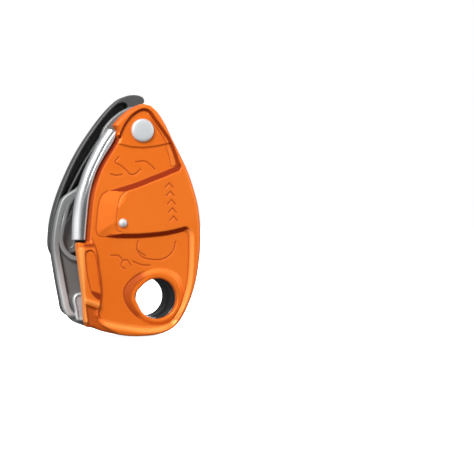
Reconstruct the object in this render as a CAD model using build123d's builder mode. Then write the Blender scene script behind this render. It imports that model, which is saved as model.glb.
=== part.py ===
"""Belay device with assisted braking for a single rope, as an assembly of separate pieces.

Frame: millimetres, +Z up along the body, +X to the right seen from the moving side plate, +Y from
the moving side plate towards the handle. The origin is on the axis of the attachment hole, half way
between the two side plates.
"""

import os
from math import cos, radians, sin

from build123d import *

os.makedirs("parts", exist_ok=True)

# ---------------------------------------------------------------- driving dimensions (mm)
CHANNEL = 13.0                # clear width between the side plates, for an 8.5 to 11 mm rope
Y_IN = -CHANNEL / 2           # inner face of the moving side plate
Y_FLOOR = -9.6                # outer face of its recessed panels
Y_TOP = -11.4                 # outer face of its plateau and rim
SHEET = 1.5                   # stainless friction sheet let into the inner face
Y_BASE = CHANNEL / 2          # inner face of the fixed side plate
Y_BACK = 9.7                  # outer face of the fixed side plate
Y_RIM = 4.7                   # front of the raised rim of the fixed side plate
Y_COVER = 12.9                # outer face of the rear cover

R_ATTACH = 8.5                # attachment hole, for a locking carabiner
R_LINER = 10.4                # outside of its liner
PIVOT = (-6.7, 72.5)          # main rivet, on which the moving side plate swings
R_RIVET = 3.0
R_RIVET_HEAD = 5.0
CAM = (-14.0, 35.0)           # cam axle
R_AXLE = 3.0
R_DRIVE, DRIVE_DEG = 8.0, -20.0   # drive pin: distance from the cam axle, and direction at rest
CAM_SWING = 30.0              # degrees from open to fully closed
SLIP = 25.0                   # over-pull travel of the handle hub against the cam
FOLD = (-34.5, 24.0)          # pin on which the lever folds
SMALL_RIVET = (-15.7, 32.7)   # rivet through the moving side plate and the friction sheet
STOP_PIN = (-26.4, 45.0)      # stops the cam in its open position
SELECTOR = (4.5, 25.5)        # axis of the mode selector
COVER_SCREWS = [(10.0, 51.5), (-30.5, 2.0), (12.6, 10.4)]
HUB_FRONT, HUB_BACK = 9.9, 13.4   # handle hub
Y_LEVER, Y_LEVER_BACK = 13.6, 22.0
GAP = 0.05                    # running clearance on radius


def at(y):
    """A sketch plane facing the front at that depth: sketch x is X and sketch y is Z."""
    return Plane.XZ.offset(-y)


def polar(centre, r, deg):
    return (centre[0] + r * cos(radians(deg)), centre[1] + r * sin(radians(deg)))


def save(part, label):
    part.label = label
    export_step(part, f"parts/{label}.step")


# ---------------------------------------------------------------- shared outlines (X, Z)
# moving side plate: over the top, down the right side and along the foot
TOP_RIGHT = [(-19.4, 74.4), (-14.6, 79.7), (-10.2, 82.8), (-6.0, 84.0), (-1.6, 82.4), (3.4, 75.7), (10.2, 62.6),
             (16.3, 47.8), (19.3, 34.0), (19.4, 20.5), (16.5, 3.4), (9.6, -10.6), (0.0, -15.5), (-11.0, -16.0),
             (-22.5, -14.1), (-32.0, -9.6)]
FLANGE_LEFT = [(-32.0, -9.6), (-33.2, 5.5), (-35.0, 19.0), (-35.4, 24.4)]
LIP_EDGE = [(-31.7, 24.4), (-30.9, 34.0), (-29.7, 45.0), (-26.7, 55.3), (-21.9, 63.6), (-18.6, 69.6), (-18.0, 72.6)]
# recessed panel, running round the left of the plateau
ARCH = [(-16.4, 69.8), (-13.9, 75.2), (-8.6, 80.3), (-4.4, 81.0), (0.2, 76.6), (5.6, 68.0), (9.4, 60.0)]
PLATEAU = [(8.6, 57.2), (-3.1, 52.8), (-16.4, 48.1), (-22.6, 46.2), (-25.6, 42.4), (-26.8, 34.0), (-26.4, 28.6), (-23.0, 26.6)]
PLATEAU_FOOT = [(-23.0, 26.6), (-9.8, 26.0), (3.6, 27.1), (13.6, 29.4)]
RIGHT_WALL = [(14.2, 28.6), (14.3, 18.0), (12.6, 3.5), (6.6, -9.4)]
FOOT_WALL = [(6.6, -9.4), (-3.5, -12.2), (-14.5, -11.0), (-25.6, -7.8)]
LEFT_WALL = [(-25.6, -7.8), (-24.3, 3.0), (-25.8, 17.0), (-28.8, 26.4)]
# fixed side plate: left side, from the top down
FIXED_LEFT = [(-19.4, 74.4), (-21.0, 70.6), (-22.4, 66.0), (-24.4, 60.0), (-26.6, 54.6), (-28.8, 50.4)]
EAR = [(-32.4, 47.4), (-35.3, 45.7), (-38.2, 43.2), (-40.2, 38.0), (-41.8, 30.5), (-42.4, 22.5), (-40.4, 9.5), (-38.6, 0.0),
       (-37.2, -5.6), (-33.8, -9.8), (-28.6, -12.2)]
WINDOW = [(-31.6, 44.0), (-34.6, 40.6), (-36.4, 34.0), (-37.9, 25.6), (-36.6, 21.4), (-33.0, 18.4), (-29.6, 18.6),
          (-27.8, 22.0), (-27.8, 34.0), (-28.6, 41.8)]
# handle lever: outer edge from the tip round to the root, then the inner edge back
LEVER_OUT = [(0.9, 87.6), (-1.6, 89.6), (-5.4, 89.7), (-10.0, 88.1), (-18.8, 79.4), (-27.8, 66.6), (-34.6, 53.4), (-39.6, 39.8), (-41.8, 27.0),
             (-40.8, 19.4), (-36.6, 15.4)]
LEVER_IN = [(-36.6, 15.4), (-30.4, 16.6), (-27.4, 22.0), (-28.8, 30.0), (-28.6, 38.0), (-25.4, 51.0), (-18.6, 64.5), (-10.0, 76.0), (-1.2, 84.4), (0.9, 87.6)]


def plate_outline():
    with BuildLine() as line:
        Spline(*TOP_RIGHT)
        Spline(*FLANGE_LEFT)
        Polyline(FLANGE_LEFT[-1], LIP_EDGE[0])
        Spline(*LIP_EDGE)
        Line(LIP_EDGE[-1], TOP_RIGHT[0])
    return line.line


def fixed_outline():
    with BuildLine() as line:
        Spline(*(TOP_RIGHT[:-1] + [(-28.6, -12.2)]))
        Spline(*reversed(EAR))
        Line(EAR[0], FIXED_LEFT[-1])
        Spline(*reversed(FIXED_LEFT))
    return line.line

# outer edge of the rolled lip of the friction sheet
LIP_OUT = [(-36.9, 25.1), (-36.6, 33.0), (-35.2, 44.6), (-31.5, 55.7), (-25.8, 67.3), (-21.6, 73.2)]
# side of the friction sheet that lies inside the channel
SHEET_EDGE = [(-15.4, 69.8), (-12.9, 62.0), (-15.9, 52.0), (-11.2, 41.0), (-10.0, 33.0), (-13.4, 27.4), (-20.0, 25.1), (-31.6, 25.1)]
# cam: distance from its axle against the angle from +X at rest, nose at 124 degrees
CAM_PROFILE = [(-90, 12.7), (-60, 13.0), (-30, 13.0), (0, 13.0), (30, 13.0), (60, 13.2), (85, 14.2), (105, 16.6), (118, 19.6),
               (125, 19.8), (131, 16.2), (140, 12.6), (165, 10.6), (200, 10.0), (240, 10.8)]
def inset(points, distance):
    """Points moved to the right of the direction of travel, square to the line through their neighbours."""
    moved = []
    for i, (x, z) in enumerate(points):
        ax, az = points[max(i - 1, 0)]
        bx, bz = points[min(i + 1, len(points) - 1)]
        size = ((bx - ax) ** 2 + (bz - az) ** 2) ** 0.5
        moved.append((x + distance * (bz - az) / size, z - distance * (bx - ax) / size))
    return moved


# rear cover: outer edge just outside the fixed side plate, and inner edge round the handle hub
COVER_EDGE = inset(TOP_RIGHT[6:-3] + [(-21.1, -13.4), (-28.4, -11.0), (-32.6, -8.6)] + EAR[-3:4:-1], -0.5)
COVER_INNER = [(-41.0, 22.0), (-40.2, 17.0), (-38.6, 12.6), (-35.4, 10.0), (-30.0, 9.4), (-22.0, 10.2), (-14.0, 15.0), (-7.0, 20.6), (-2.2, 27.0), (-0.6, 35.0), (0.8, 46.0), (5.6, 56.6)]


def ring_pin(centre, r, y0, y1):
    """A plain round pin between two depths, made in the current part."""
    with BuildSketch(at(y1)) as disc:
        with Locations(centre):
            Circle(r)
    extrude(disc.sketch, amount=y1 - y0)


def bore(centre, r, y0, y1):
    """A plain round hole between two depths, cut in the current part."""
    with BuildSketch(at(y1)) as disc:
        with Locations(centre):
            Circle(r)
    extrude(disc.sketch, amount=y1 - y0, mode=Mode.SUBTRACT)


# ---------------------------------------------------------------- moving side plate
with BuildPart() as moving_side_plate:
    with BuildSketch(at(Y_IN)):
        add(make_face(plate_outline().edges(), mode=Mode.PRIVATE))
    extrude(amount=Y_IN - Y_TOP)
    # recessed panels, open towards the friction lip
    with BuildSketch(at(Y_FLOOR)):
        with BuildLine():
            Spline(*ARCH)
            Line(ARCH[-1], PLATEAU[0])
            Spline(*PLATEAU)
            Spline(*PLATEAU_FOOT)
            Line(PLATEAU_FOOT[-1], RIGHT_WALL[0])
            Spline(*RIGHT_WALL)
            Spline(*FOOT_WALL)
            Spline(*LEFT_WALL)
            Polyline(LEFT_WALL[-1], (-40, 28), (-40, 60), (-24, 72), ARCH[0])
        make_face()
    extrude(amount=4, mode=Mode.SUBTRACT)
    # pad round the main rivet
    with BuildSketch(at(Y_FLOOR)):
        with BuildLine():
            Spline((-15.2, 66.6), (-6.6, 64.8), (4.6, 66.8))
            Polyline((4.6, 66.8), (0.6, 73.4), (-3.6, 78.6), (-8.0, 78.4), (-12.8, 73.8), (-15.2, 66.6))
        make_face()
    extrude(amount=0.35)
    # collar round the attachment hole
    with BuildSketch(at(Y_FLOOR)):
        with Locations((-0.6, 0)):
            Circle(12.4)
    extrude(amount=1.2, taper=25)
    # finger panel on the flange
    with BuildSketch(at(Y_TOP + 0.7)):
        with BuildLine():
            Spline((-31.6, 20.6), (-30.6, 10.0), (-28.4, 2.4))
            Line((-28.4, 2.4), (-25.6, 0.6))
            Spline((-25.6, 0.6), (-25.8, 11.0), (-27.6, 20.2))
            Line((-27.6, 20.2), (-31.6, 20.6))
        make_face()
    extrude(amount=2, mode=Mode.SUBTRACT)
    # flange that guards the rope entry
    with BuildSketch(at(-4.2)):
        with BuildLine():
            Spline(*FLANGE_LEFT)
            Line(FLANGE_LEFT[-1], (FLANGE_LEFT[-1][0] + 2.2, 24.4))
            Spline(*[(x + 2.2, z) for x, z in reversed(FLANGE_LEFT)])
            Line((FLANGE_LEFT[0][0] + 2.2, -9.6), FLANGE_LEFT[0])
        make_face()
    extrude(amount=4)
    # pivot hole, rivet hole and attachment hole with its egg-shaped relief
    bore(PIVOT, 4.0, -12, Y_IN)
    bore(SMALL_RIVET, 1.25, -12, Y_IN)
    with BuildSketch(at(Y_IN)):
        Circle(R_ATTACH + 0.2)
        with Locations((-6.3, 1.0)):
            Circle(3.5)
        make_hull()
    extrude(amount=8, mode=Mode.SUBTRACT)
    # seat for the friction sheet in the inner face
    with BuildSketch(at(Y_IN)):
        with BuildLine():
            Spline(*SHEET_EDGE)
            Polyline(SHEET_EDGE[-1], (-40, 25.1), (-40, 60), (-25, 74), (-18.0, 72.7), SHEET_EDGE[0])
        make_face()
    extrude(amount=SHEET, mode=Mode.SUBTRACT)
save(moving_side_plate.part, "moving_side_plate")

# ---------------------------------------------------------------- friction sheet with its rolled lip
with BuildPart() as friction_plate:
    with BuildSketch(at(Y_IN)):
        with BuildLine():
            Spline(*SHEET_EDGE)
            Polyline(SHEET_EDGE[-1], (-33.0, 25.1))
            Spline((-33.0, 25.1), (-32.3, 34.0), (-31.0, 45.0), (-28.2, 55.3), (-23.2, 64.6), (-20.4, 70.4))
            Polyline((-20.4, 70.4), (-20.0, 72.0), (-18.0, 72.6), SHEET_EDGE[0])
        make_face()
    extrude(amount=SHEET)
    with BuildSketch(at(-5.2)):
        with BuildLine():
            Spline(*LIP_OUT)
            Line(LIP_OUT[-1], (-19.2, 71.6))
            Line((-19.2, 71.6), (-18.75, 69.2))
            Spline((-18.75, 69.2), (-22.05, 63.6), (-26.85, 55.3), (-29.85, 45.0), (-31.05, 34.0), (-31.75, 25.1))
            Line((-31.75, 25.1), LIP_OUT[0])
        make_face()
    extrude(amount=4.8)
    bore(SMALL_RIVET, 1.25, -12, Y_IN)
save(friction_plate.part, "friction_plate")

with BuildPart() as plate_rivet:
    ring_pin(SMALL_RIVET, 1.25, Y_TOP, Y_IN - 0.05)
    with BuildSketch(at(Y_TOP)):
        with Locations(SMALL_RIVET):
            Circle(1.9)
    extrude(amount=0.8, taper=28)
save(plate_rivet.part, "plate_rivet")

# ---------------------------------------------------------------- fixed side plate
with BuildPart() as fixed_side_plate:
    with BuildSketch(at(Y_BACK)):
        add(make_face(fixed_outline().edges(), mode=Mode.PRIVATE))
    extrude(amount=Y_BACK - Y_BASE)
    # raised rim along the ear
    with BuildSketch(at(Y_BASE)):
        with BuildLine():
            Spline(*inset(EAR[:-2], -0.15))
            Spline(*inset(EAR[:-2], -2.8))
            Line(inset(EAR[:-2], -0.15)[0], inset(EAR[:-2], -2.8)[0])
            Line(inset(EAR[:-2], -0.15)[-1], inset(EAR[:-2], -2.8)[-1])
        make_face()
    extrude(amount=Y_BASE - Y_RIM)
    # window beside the cam
    with BuildSketch(at(Y_BACK)):
        with BuildLine():
            Spline(*WINDOW, periodic=True)
        make_face()
    extrude(amount=Y_BACK - Y_BASE, mode=Mode.SUBTRACT)
    # seats and holes
    bore((0, 0), R_LINER, Y_BASE, Y_BACK)
    bore(PIVOT, R_RIVET, Y_BASE, Y_BACK)
    bore(CAM, R_AXLE, Y_BASE, Y_BACK)
    bore(STOP_PIN, 1.6, Y_BASE, Y_BACK)
    bore(SELECTOR, 2.5 + GAP, Y_BASE + 0.6, Y_BACK)
    for centre in COVER_SCREWS:
        bore(centre, 1.25, Y_BASE + 0.6, Y_BACK)
    # slot in which the drive pin swings with the cam
    with BuildSketch(at(Y_BACK)):
        with BuildLine(mode=Mode.PRIVATE):
            swing = CenterArc(CAM, R_DRIVE, DRIVE_DEG - CAM_SWING - 1, CAM_SWING + 2)
        SlotArc(swing, 2 * (1.8 + 0.1))
    extrude(amount=Y_BACK - Y_BASE, mode=Mode.SUBTRACT)
save(fixed_side_plate.part, "fixed_side_plate")

# ---------------------------------------------------------------- guard that closes the rope channel along the right side
with BuildPart() as rope_guard:
    with BuildSketch(at(Y_BASE)):
        with BuildLine():
            Spline(*inset(TOP_RIGHT[3:13], 1.0))
            Spline(*reversed(inset(TOP_RIGHT[3:13], 3.6)))
            Line(inset(TOP_RIGHT[3:13], 1.0)[0], inset(TOP_RIGHT[3:13], 3.6)[0])
            Line(inset(TOP_RIGHT[3:13], 1.0)[-1], inset(TOP_RIGHT[3:13], 3.6)[-1])
        make_face()
    extrude(amount=Y_BASE + 6.35)
save(rope_guard.part, "rope_guard")

# ---------------------------------------------------------------- liner of the attachment hole
with BuildPart() as attachment_liner:
    ring_pin((0, 0), R_LINER, -6.3, Y_COVER)
    bore((0, 0), R_ATTACH, -6.3, Y_COVER)
save(attachment_liner.part, "attachment_liner")

# ---------------------------------------------------------------- main rivet with its sleeve and washer
with BuildPart() as pivot_sleeve:
    ring_pin(PIVOT, 5.5, -6.0, Y_BASE)
    ring_pin(PIVOT, 3.95, -10.0, -6.0)
    bore(PIVOT, R_RIVET, -10.0, Y_BASE)
save(pivot_sleeve.part, "pivot_sleeve")

with BuildPart() as pivot_washer:
    ring_pin(PIVOT, 5.5, -6.45, -6.05)
    bore(PIVOT, 4.0, -6.45, -6.05)
save(pivot_washer.part, "pivot_washer")

with BuildPart() as main_rivet:
    ring_pin(PIVOT, R_RIVET, -10.0, Y_BACK)
    ring_pin(PIVOT, R_RIVET_HEAD, -11.5, -10.0)
    chamfer(main_rivet.faces().sort_by(Axis.Y)[0].edges(), 0.35)
    ring_pin(PIVOT, 4.6, Y_BACK, Y_BACK + 1.3)
    chamfer(main_rivet.faces().sort_by(Axis.Y)[-1].edges(), 0.5)
save(main_rivet.part, "main_rivet")

# ---------------------------------------------------------------- wear plate at the rope entry
with BuildPart() as rope_wear_plate:
    with BuildSketch(at(Y_BASE)):
        with BuildLine():
            Polyline((-32.2, -9.5), (-33.9, 2.4), (-18.0, 2.4), (-18.0, -10.6), (-25.0, -10.6), (-32.2, -9.5))
        make_face()
        fillet(vertices().sort_by(Axis.X)[0], 2.4)
        fillet(vertices().group_by(Axis.X)[-1], 2.0)
    extrude(amount=1.5)
save(rope_wear_plate.part, "rope_wear_plate")

# ---------------------------------------------------------------- pinch pad over the cam nose
with BuildPart() as pinch_pad:
    with BuildSketch(at(Y_BASE)):
        with BuildLine():
            CenterArc(CAM, 26.0, 68, 32)
            Line(polar(CAM, 26.0, 100), polar(CAM, 29.8, 99))
            CenterArc(CAM, 29.8, 68, 31)
            Line(polar(CAM, 29.8, 68), polar(CAM, 26.0, 68))
        make_face()
    extrude(amount=Y_BASE + 6.2)
save(pinch_pad.part, "pinch_pad")

# ---------------------------------------------------------------- cam, its bush, axle, spring and stop
with BuildPart() as cam:
    with BuildSketch(at(5.8)):
        with BuildLine():
            Spline(*[polar(CAM, r, a) for a, r in CAM_PROFILE], periodic=True)
        make_face()
    extrude(amount=11.6)
    # rope groove round the drum
    with BuildSketch(Plane(origin=(CAM[0], 0, CAM[1]), x_dir=(cos(radians(58)), 0, sin(radians(58))), z_dir=(-sin(radians(58)), 0, cos(radians(58))))):
        with Locations((19.2, 0)):
            Circle(7.5)
    revolve(axis=Axis((CAM[0], 0, CAM[1]), (0, 1, 0)), revolution_arc=150, mode=Mode.SUBTRACT)
    bore(CAM, 4.5, -5.8, 5.8)
    bore(CAM, 7.6, -5.8, -2.3)
    bore(polar(CAM, R_DRIVE, DRIVE_DEG), 1.8, 0, 5.8)
save(cam.part, "cam")

with BuildPart() as cam_bushing:
    ring_pin(CAM, 4.5, -5.8, 5.8)
    bore(CAM, R_AXLE + GAP, -5.8, 5.8)
save(cam_bushing.part, "cam_bushing")

with BuildPart() as cam_axle:
    ring_pin(CAM, R_AXLE, -6.2, 15.9)
    with BuildSketch(at(15.6)):
        with Locations(CAM):
            Circle(R_AXLE)
            Circle(2.3, mode=Mode.SUBTRACT)
    extrude(amount=0.6, mode=Mode.SUBTRACT)
    chamfer(cam_axle.faces().sort_by(Axis.Y)[0].edges(), 0.3)
save(cam_axle.part, "cam_axle")

with BuildPart() as axle_clip:
    with BuildSketch(at(15.6)):
        with Locations(CAM):
            Circle(4.4)
            Circle(2.3, mode=Mode.SUBTRACT)
        with Locations((CAM[0], CAM[1] + 4)):
            Rectangle(2.6, 5, mode=Mode.SUBTRACT)
    extrude(amount=0.6)
save(axle_clip.part, "axle_clip")

with BuildPart() as drive_pin:
    ring_pin(polar(CAM, R_DRIVE, DRIVE_DEG), 1.8, 0, 13.2)
save(drive_pin.part, "drive_pin")

with BuildPart() as cam_stop_pin:
    ring_pin(STOP_PIN, 1.6, -5.5, Y_BACK)
save(cam_stop_pin.part, "cam_stop_pin")


def coil(centre, y0, turns, pitch, r, wire):
    """A coil of round wire about an axis along Y, made in the current part."""
    with BuildLine() as path:
        line = Helix(pitch=pitch, height=pitch * turns, radius=r, center=(centre[0], y0, centre[1]), direction=(0, 1, 0))
    with BuildSketch(Plane(origin=line @ 0, z_dir=line % 0)) as section:
        Circle(wire / 2)
    sweep(section.sketch, path=path.line, is_frenet=True)


with BuildPart() as cam_spring:
    coil(CAM, -5.0, 1.6, 1.2, 6.1, 1.0)
save(cam_spring.part, "cam_spring")

# ---------------------------------------------------------------- handle hub, its cap, clutch spring and fold pin
with BuildPart() as handle_hub:
    with BuildSketch(at(HUB_BACK)):
        with Locations(CAM):
            Circle(8.0)
        with Locations(FOLD):
            Circle(4.6)
        with Locations((-28.9, 38.8)):
            Circle(3.4)
        make_hull()
        with Locations(CAM):
            Circle(11.5)
        with Locations(CAM):
            Circle(R_AXLE + GAP, mode=Mode.SUBTRACT)
        with Locations(FOLD):
            Circle(2.0, mode=Mode.SUBTRACT)
        with BuildLine(mode=Mode.PRIVATE):
            swing = CenterArc(CAM, R_DRIVE, DRIVE_DEG - SLIP - 1, SLIP + 2)
        SlotArc(swing, 2 * (1.8 + 0.1), mode=Mode.SUBTRACT)
    extrude(amount=HUB_BACK - HUB_FRONT)
save(handle_hub.part, "handle_hub")

with BuildPart() as hub_cap:
    ring_pin(CAM, 10.6, HUB_BACK, 17.6)
    fillet(hub_cap.faces().sort_by(Axis.Y)[-1].edges(), 1.2)
    bore(CAM, 8.6, HUB_BACK, 16.2)
save(hub_cap.part, "hub_cap")

with BuildPart() as slip_spring:
    coil(CAM, 14.1, 1.2, 1.2, 6.2, 1.0)
save(slip_spring.part, "slip_spring")

with BuildPart() as fold_pin:
    ring_pin(FOLD, 2.0, HUB_FRONT, Y_LEVER_BACK + 0.05)
    ring_pin(FOLD, 3.4, Y_LEVER_BACK + 0.05, Y_LEVER_BACK + 0.85)
    chamfer(fold_pin.faces().sort_by(Axis.Y)[-1].edges(), 0.25)
save(fold_pin.part, "fold_pin")

# ---------------------------------------------------------------- handle lever
with BuildPart() as handle_lever:
    with BuildSketch(at(Y_LEVER_BACK)):
        with BuildLine():
            Spline(*LEVER_OUT)
            Spline(*LEVER_IN)
        make_face()
    extrude(amount=Y_LEVER_BACK - Y_LEVER)
    # hollow above the solid base that holds the fold pin, open towards the side plates
    with BuildSketch(at(Y_LEVER_BACK - 1.9)):
        with BuildLine():
            Spline(*inset(LEVER_OUT, -2.0)[3:8])
            Spline(*inset(LEVER_IN, -2.0)[5:-2])
            Line(inset(LEVER_OUT, -2.0)[3], inset(LEVER_IN, -2.0)[-3])
            Line(inset(LEVER_OUT, -2.0)[7], inset(LEVER_IN, -2.0)[5])
        make_face()
    extrude(amount=Y_LEVER_BACK - 1.9 - Y_LEVER, mode=Mode.SUBTRACT)
    # stiffening rib
    with BuildSketch(at(Y_LEVER_BACK - 1.9)):
        with BuildLine():
            Spline((-13.8, 78.2), (-23.6, 64.4), (-30.8, 52.1), (-35.6, 40.0))
            Line((-35.6, 40.0), (-34.6, 40.0))
            Spline((-34.6, 40.0), (-29.9, 51.6), (-22.7, 63.8), (-13.0, 77.6))
            Line((-13.0, 77.6), (-13.8, 78.2))
        make_face()
    extrude(amount=5.8)
    bore(FOLD, 2.0 + GAP, Y_LEVER, Y_LEVER_BACK)
save(handle_lever.part, "handle_lever")

# ---------------------------------------------------------------- rear cover and its screws
with BuildPart() as rear_cover:
    with BuildSketch(at(Y_COVER)):
        with BuildLine():
            Spline(*COVER_EDGE)
            Spline(*COVER_INNER)
            Line(COVER_INNER[-1], COVER_EDGE[0])
            Line(COVER_EDGE[-1], COVER_INNER[0])
        make_face()
    extrude(amount=Y_COVER - Y_BACK)
    bore((0, 0), R_LINER, Y_BACK, Y_COVER)
    bore(SELECTOR, 2.5 + GAP, Y_BACK, Y_COVER)
    bore(SELECTOR, 6.6, Y_BACK, 11.2)
    for centre in COVER_SCREWS:
        bore(centre, 1.25, Y_BACK, Y_COVER)
        bore(centre, 2.4, 11.4, Y_COVER)
save(rear_cover.part, "rear_cover")

with BuildPart() as cover_screws:
    for centre in COVER_SCREWS:
        ring_pin(centre, 1.25, Y_BASE + 0.6, 11.4)
        ring_pin(centre, 2.4, 11.4, Y_COVER)
        with BuildSketch(at(Y_COVER)):
            with Locations(centre):
                RegularPolygon(1.2, 6)
        extrude(amount=1.0, mode=Mode.SUBTRACT)
save(cover_screws.part, "cover_screws")

# ---------------------------------------------------------------- mode selector
with BuildPart() as selector_shaft:
    ring_pin(SELECTOR, 2.5, Y_BASE + 0.7, Y_COVER + 0.1)
    ring_pin((SELECTOR[0] + 1.4, SELECTOR[1]), 4.8, Y_BACK + 0.1, 11.0)
save(selector_shaft.part, "selector_shaft")

with BuildPart() as selector_knob:
    ring_pin(SELECTOR, 8.0, Y_COVER + 0.1, 15.0)
    with BuildSketch(at(18.4)):
        with Locations(SELECTOR):
            Circle(6.6)
            with Locations((0, 10.2), (0, -10.2)):
                Rectangle(20, 12, mode=Mode.SUBTRACT)
            Circle(4.2)
    extrude(amount=3.4)
    bore(SELECTOR, 3.0 + GAP, 13.8, 18.4)
save(selector_knob.part, "selector_knob")

with BuildPart() as selector_button:
    ring_pin(SELECTOR, 3.0, 16.0, 19.4)
    chamfer(selector_button.faces().sort_by(Axis.Y)[-1].edges(), 0.4)
save(selector_button.part, "selector_button")

with BuildPart() as selector_button_spring:
    coil(SELECTOR, 14.1, 2.0, 0.7, 2.0, 0.4)
save(selector_button_spring.part, "selector_button_spring")
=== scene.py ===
import math

import bmesh
import bpy
import numpy as np
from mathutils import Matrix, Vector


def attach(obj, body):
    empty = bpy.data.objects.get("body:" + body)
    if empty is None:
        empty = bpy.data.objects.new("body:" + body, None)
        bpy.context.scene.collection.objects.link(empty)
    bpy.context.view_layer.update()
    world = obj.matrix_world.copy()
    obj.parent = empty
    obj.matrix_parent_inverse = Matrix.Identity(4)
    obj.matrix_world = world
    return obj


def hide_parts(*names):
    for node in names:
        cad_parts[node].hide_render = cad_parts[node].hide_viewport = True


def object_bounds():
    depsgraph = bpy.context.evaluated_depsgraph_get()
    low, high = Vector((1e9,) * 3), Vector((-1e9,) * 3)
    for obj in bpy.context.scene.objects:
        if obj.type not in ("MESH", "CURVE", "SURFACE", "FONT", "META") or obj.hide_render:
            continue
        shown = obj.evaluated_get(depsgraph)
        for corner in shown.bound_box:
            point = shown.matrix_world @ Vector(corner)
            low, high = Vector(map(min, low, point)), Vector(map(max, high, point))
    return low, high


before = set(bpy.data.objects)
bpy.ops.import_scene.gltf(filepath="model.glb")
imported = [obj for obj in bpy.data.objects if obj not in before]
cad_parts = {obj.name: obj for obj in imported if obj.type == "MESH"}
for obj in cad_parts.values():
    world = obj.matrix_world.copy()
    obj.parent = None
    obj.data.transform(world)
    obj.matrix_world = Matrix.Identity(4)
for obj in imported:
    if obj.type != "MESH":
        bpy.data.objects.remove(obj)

import openvdb as vdb
from mathutils import Matrix, Vector

CAD_BOX = [list(map(float, c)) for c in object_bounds()]
H = 0.25          # voxel of the forged and moulded parts, mm

# ------------------------------------------------------------------ camera
cam_data = bpy.data.cameras.new("camera")
cam_data.sensor_width = 36.0
cam_data.lens = 104.2
cam_data.clip_start = 0.01
cam_data.clip_end = 20.0
camera = bpy.data.objects.new("camera", cam_data)
bpy.context.scene.collection.objects.link(camera)
forward = Vector((0.3345, 0.9423, -0.0145)).normalized()
right = forward.cross(Vector((0, 0, 1))).normalized()
up = right.cross(forward).normalized()
rot = Matrix((right, up, -forward)).transposed()
camera.matrix_world = Matrix.Translation(Vector((-0.1657705, -0.5795555, 0.0352601))) @ rot.to_4x4()
bpy.context.scene.camera = camera


# ------------------------------------------------------------------ two-dimensional distance tools (mm, X and Z)
def smooth_line(points, closed=False, n=10):
    """Centripetal Catmull-Rom curve through the points."""
    p = np.array(points, float)
    if closed:
        p = np.vstack([p[-1], p, p[:2]])
    else:
        p = np.vstack([2 * p[0] - p[1], p, 2 * p[-1] - p[-2]])
    out = []
    for i in range(1, len(p) - 2):
        p0, p1, p2, p3 = p[i - 1:i + 3]
        t0 = 0.0
        t1 = t0 + max(np.linalg.norm(p1 - p0), 1e-6) ** 0.5
        t2 = t1 + max(np.linalg.norm(p2 - p1), 1e-6) ** 0.5
        t3 = t2 + max(np.linalg.norm(p3 - p2), 1e-6) ** 0.5
        t = np.linspace(t1, t2, n, endpoint=False)[:, None]
        a1 = (t1 - t) / (t1 - t0) * p0 + (t - t0) / (t1 - t0) * p1
        a2 = (t2 - t) / (t2 - t1) * p1 + (t - t1) / (t2 - t1) * p2
        a3 = (t3 - t) / (t3 - t2) * p2 + (t - t2) / (t3 - t2) * p3
        b1 = (t2 - t) / (t2 - t0) * a1 + (t - t0) / (t2 - t0) * a2
        b2 = (t3 - t) / (t3 - t1) * a2 + (t - t1) / (t3 - t1) * a3
        out.append((t2 - t) / (t2 - t1) * b1 + (t - t1) / (t2 - t1) * b2)
    if not closed:
        out.append(p[-2][None, :])
    return np.vstack(out)


def line_distance(line, X, Z):
    """Distance to an open line of straight runs."""
    best = np.full(X.shape, 1e9)
    for (ax, az), (bx, bz) in zip(line[:-1], line[1:]):
        dx, dz = bx - ax, bz - az
        q = dx * dx + dz * dz
        if q < 1e-12:
            continue
        t = np.clip(((X - ax) * dx + (Z - az) * dz) / q, 0, 1)
        np.minimum(best, (X - ax - t * dx) ** 2 + (Z - az - t * dz) ** 2, out=best)
    return np.sqrt(best)


def inside(loop, X, Z):
    hit = np.zeros(X.shape, bool)
    for (ax, az), (bx, bz) in zip(loop, np.roll(loop, -1, axis=0)):
        if az == bz:
            continue
        crosses = (az > Z) != (bz > Z)
        hit ^= crosses & (X < (bx - ax) * (Z - az) / (bz - az) + ax)
    return hit


def area_distance(loop, X, Z):
    """Distance to a closed outline, negative inside it."""
    loop = np.array(loop, float)
    d = line_distance(np.vstack([loop, loop[:1]]), X, Z)
    return np.where(inside(loop, X, Z), -d, d)


def ease(t):
    t = np.clip(t, 0, 1)
    return t * t * (3 - 2 * t)


def smax(a, b, k):
    return np.maximum(a, b) + np.maximum(k - np.abs(a - b), 0) ** 2 / (4 * k)


def smin(a, b, k):
    return np.minimum(a, b) - np.maximum(k - np.abs(a - b), 0) ** 2 / (4 * k)


# ------------------------------------------------------------------ meshes
def make_mesh(name, verts, faces_flat, loop_starts, loop_totals, smooth=True):
    me = bpy.data.meshes.new(name)
    me.vertices.add(len(verts))
    me.vertices.foreach_set("co", np.ascontiguousarray(verts, np.float32).ravel())
    me.loops.add(len(faces_flat))
    me.loops.foreach_set("vertex_index", np.ascontiguousarray(faces_flat, np.int32))
    me.polygons.add(len(loop_starts))
    me.polygons.foreach_set("loop_start", np.ascontiguousarray(loop_starts, np.int32))
    me.polygons.foreach_set("loop_total", np.ascontiguousarray(loop_totals, np.int32))
    me.polygons.foreach_set("use_smooth", np.full(len(loop_starts), smooth))
    me.update(calc_edges=True)
    me.validate()
    ob = bpy.data.objects.new(name, me)
    bpy.context.scene.collection.objects.link(ob)
    return ob


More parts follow.
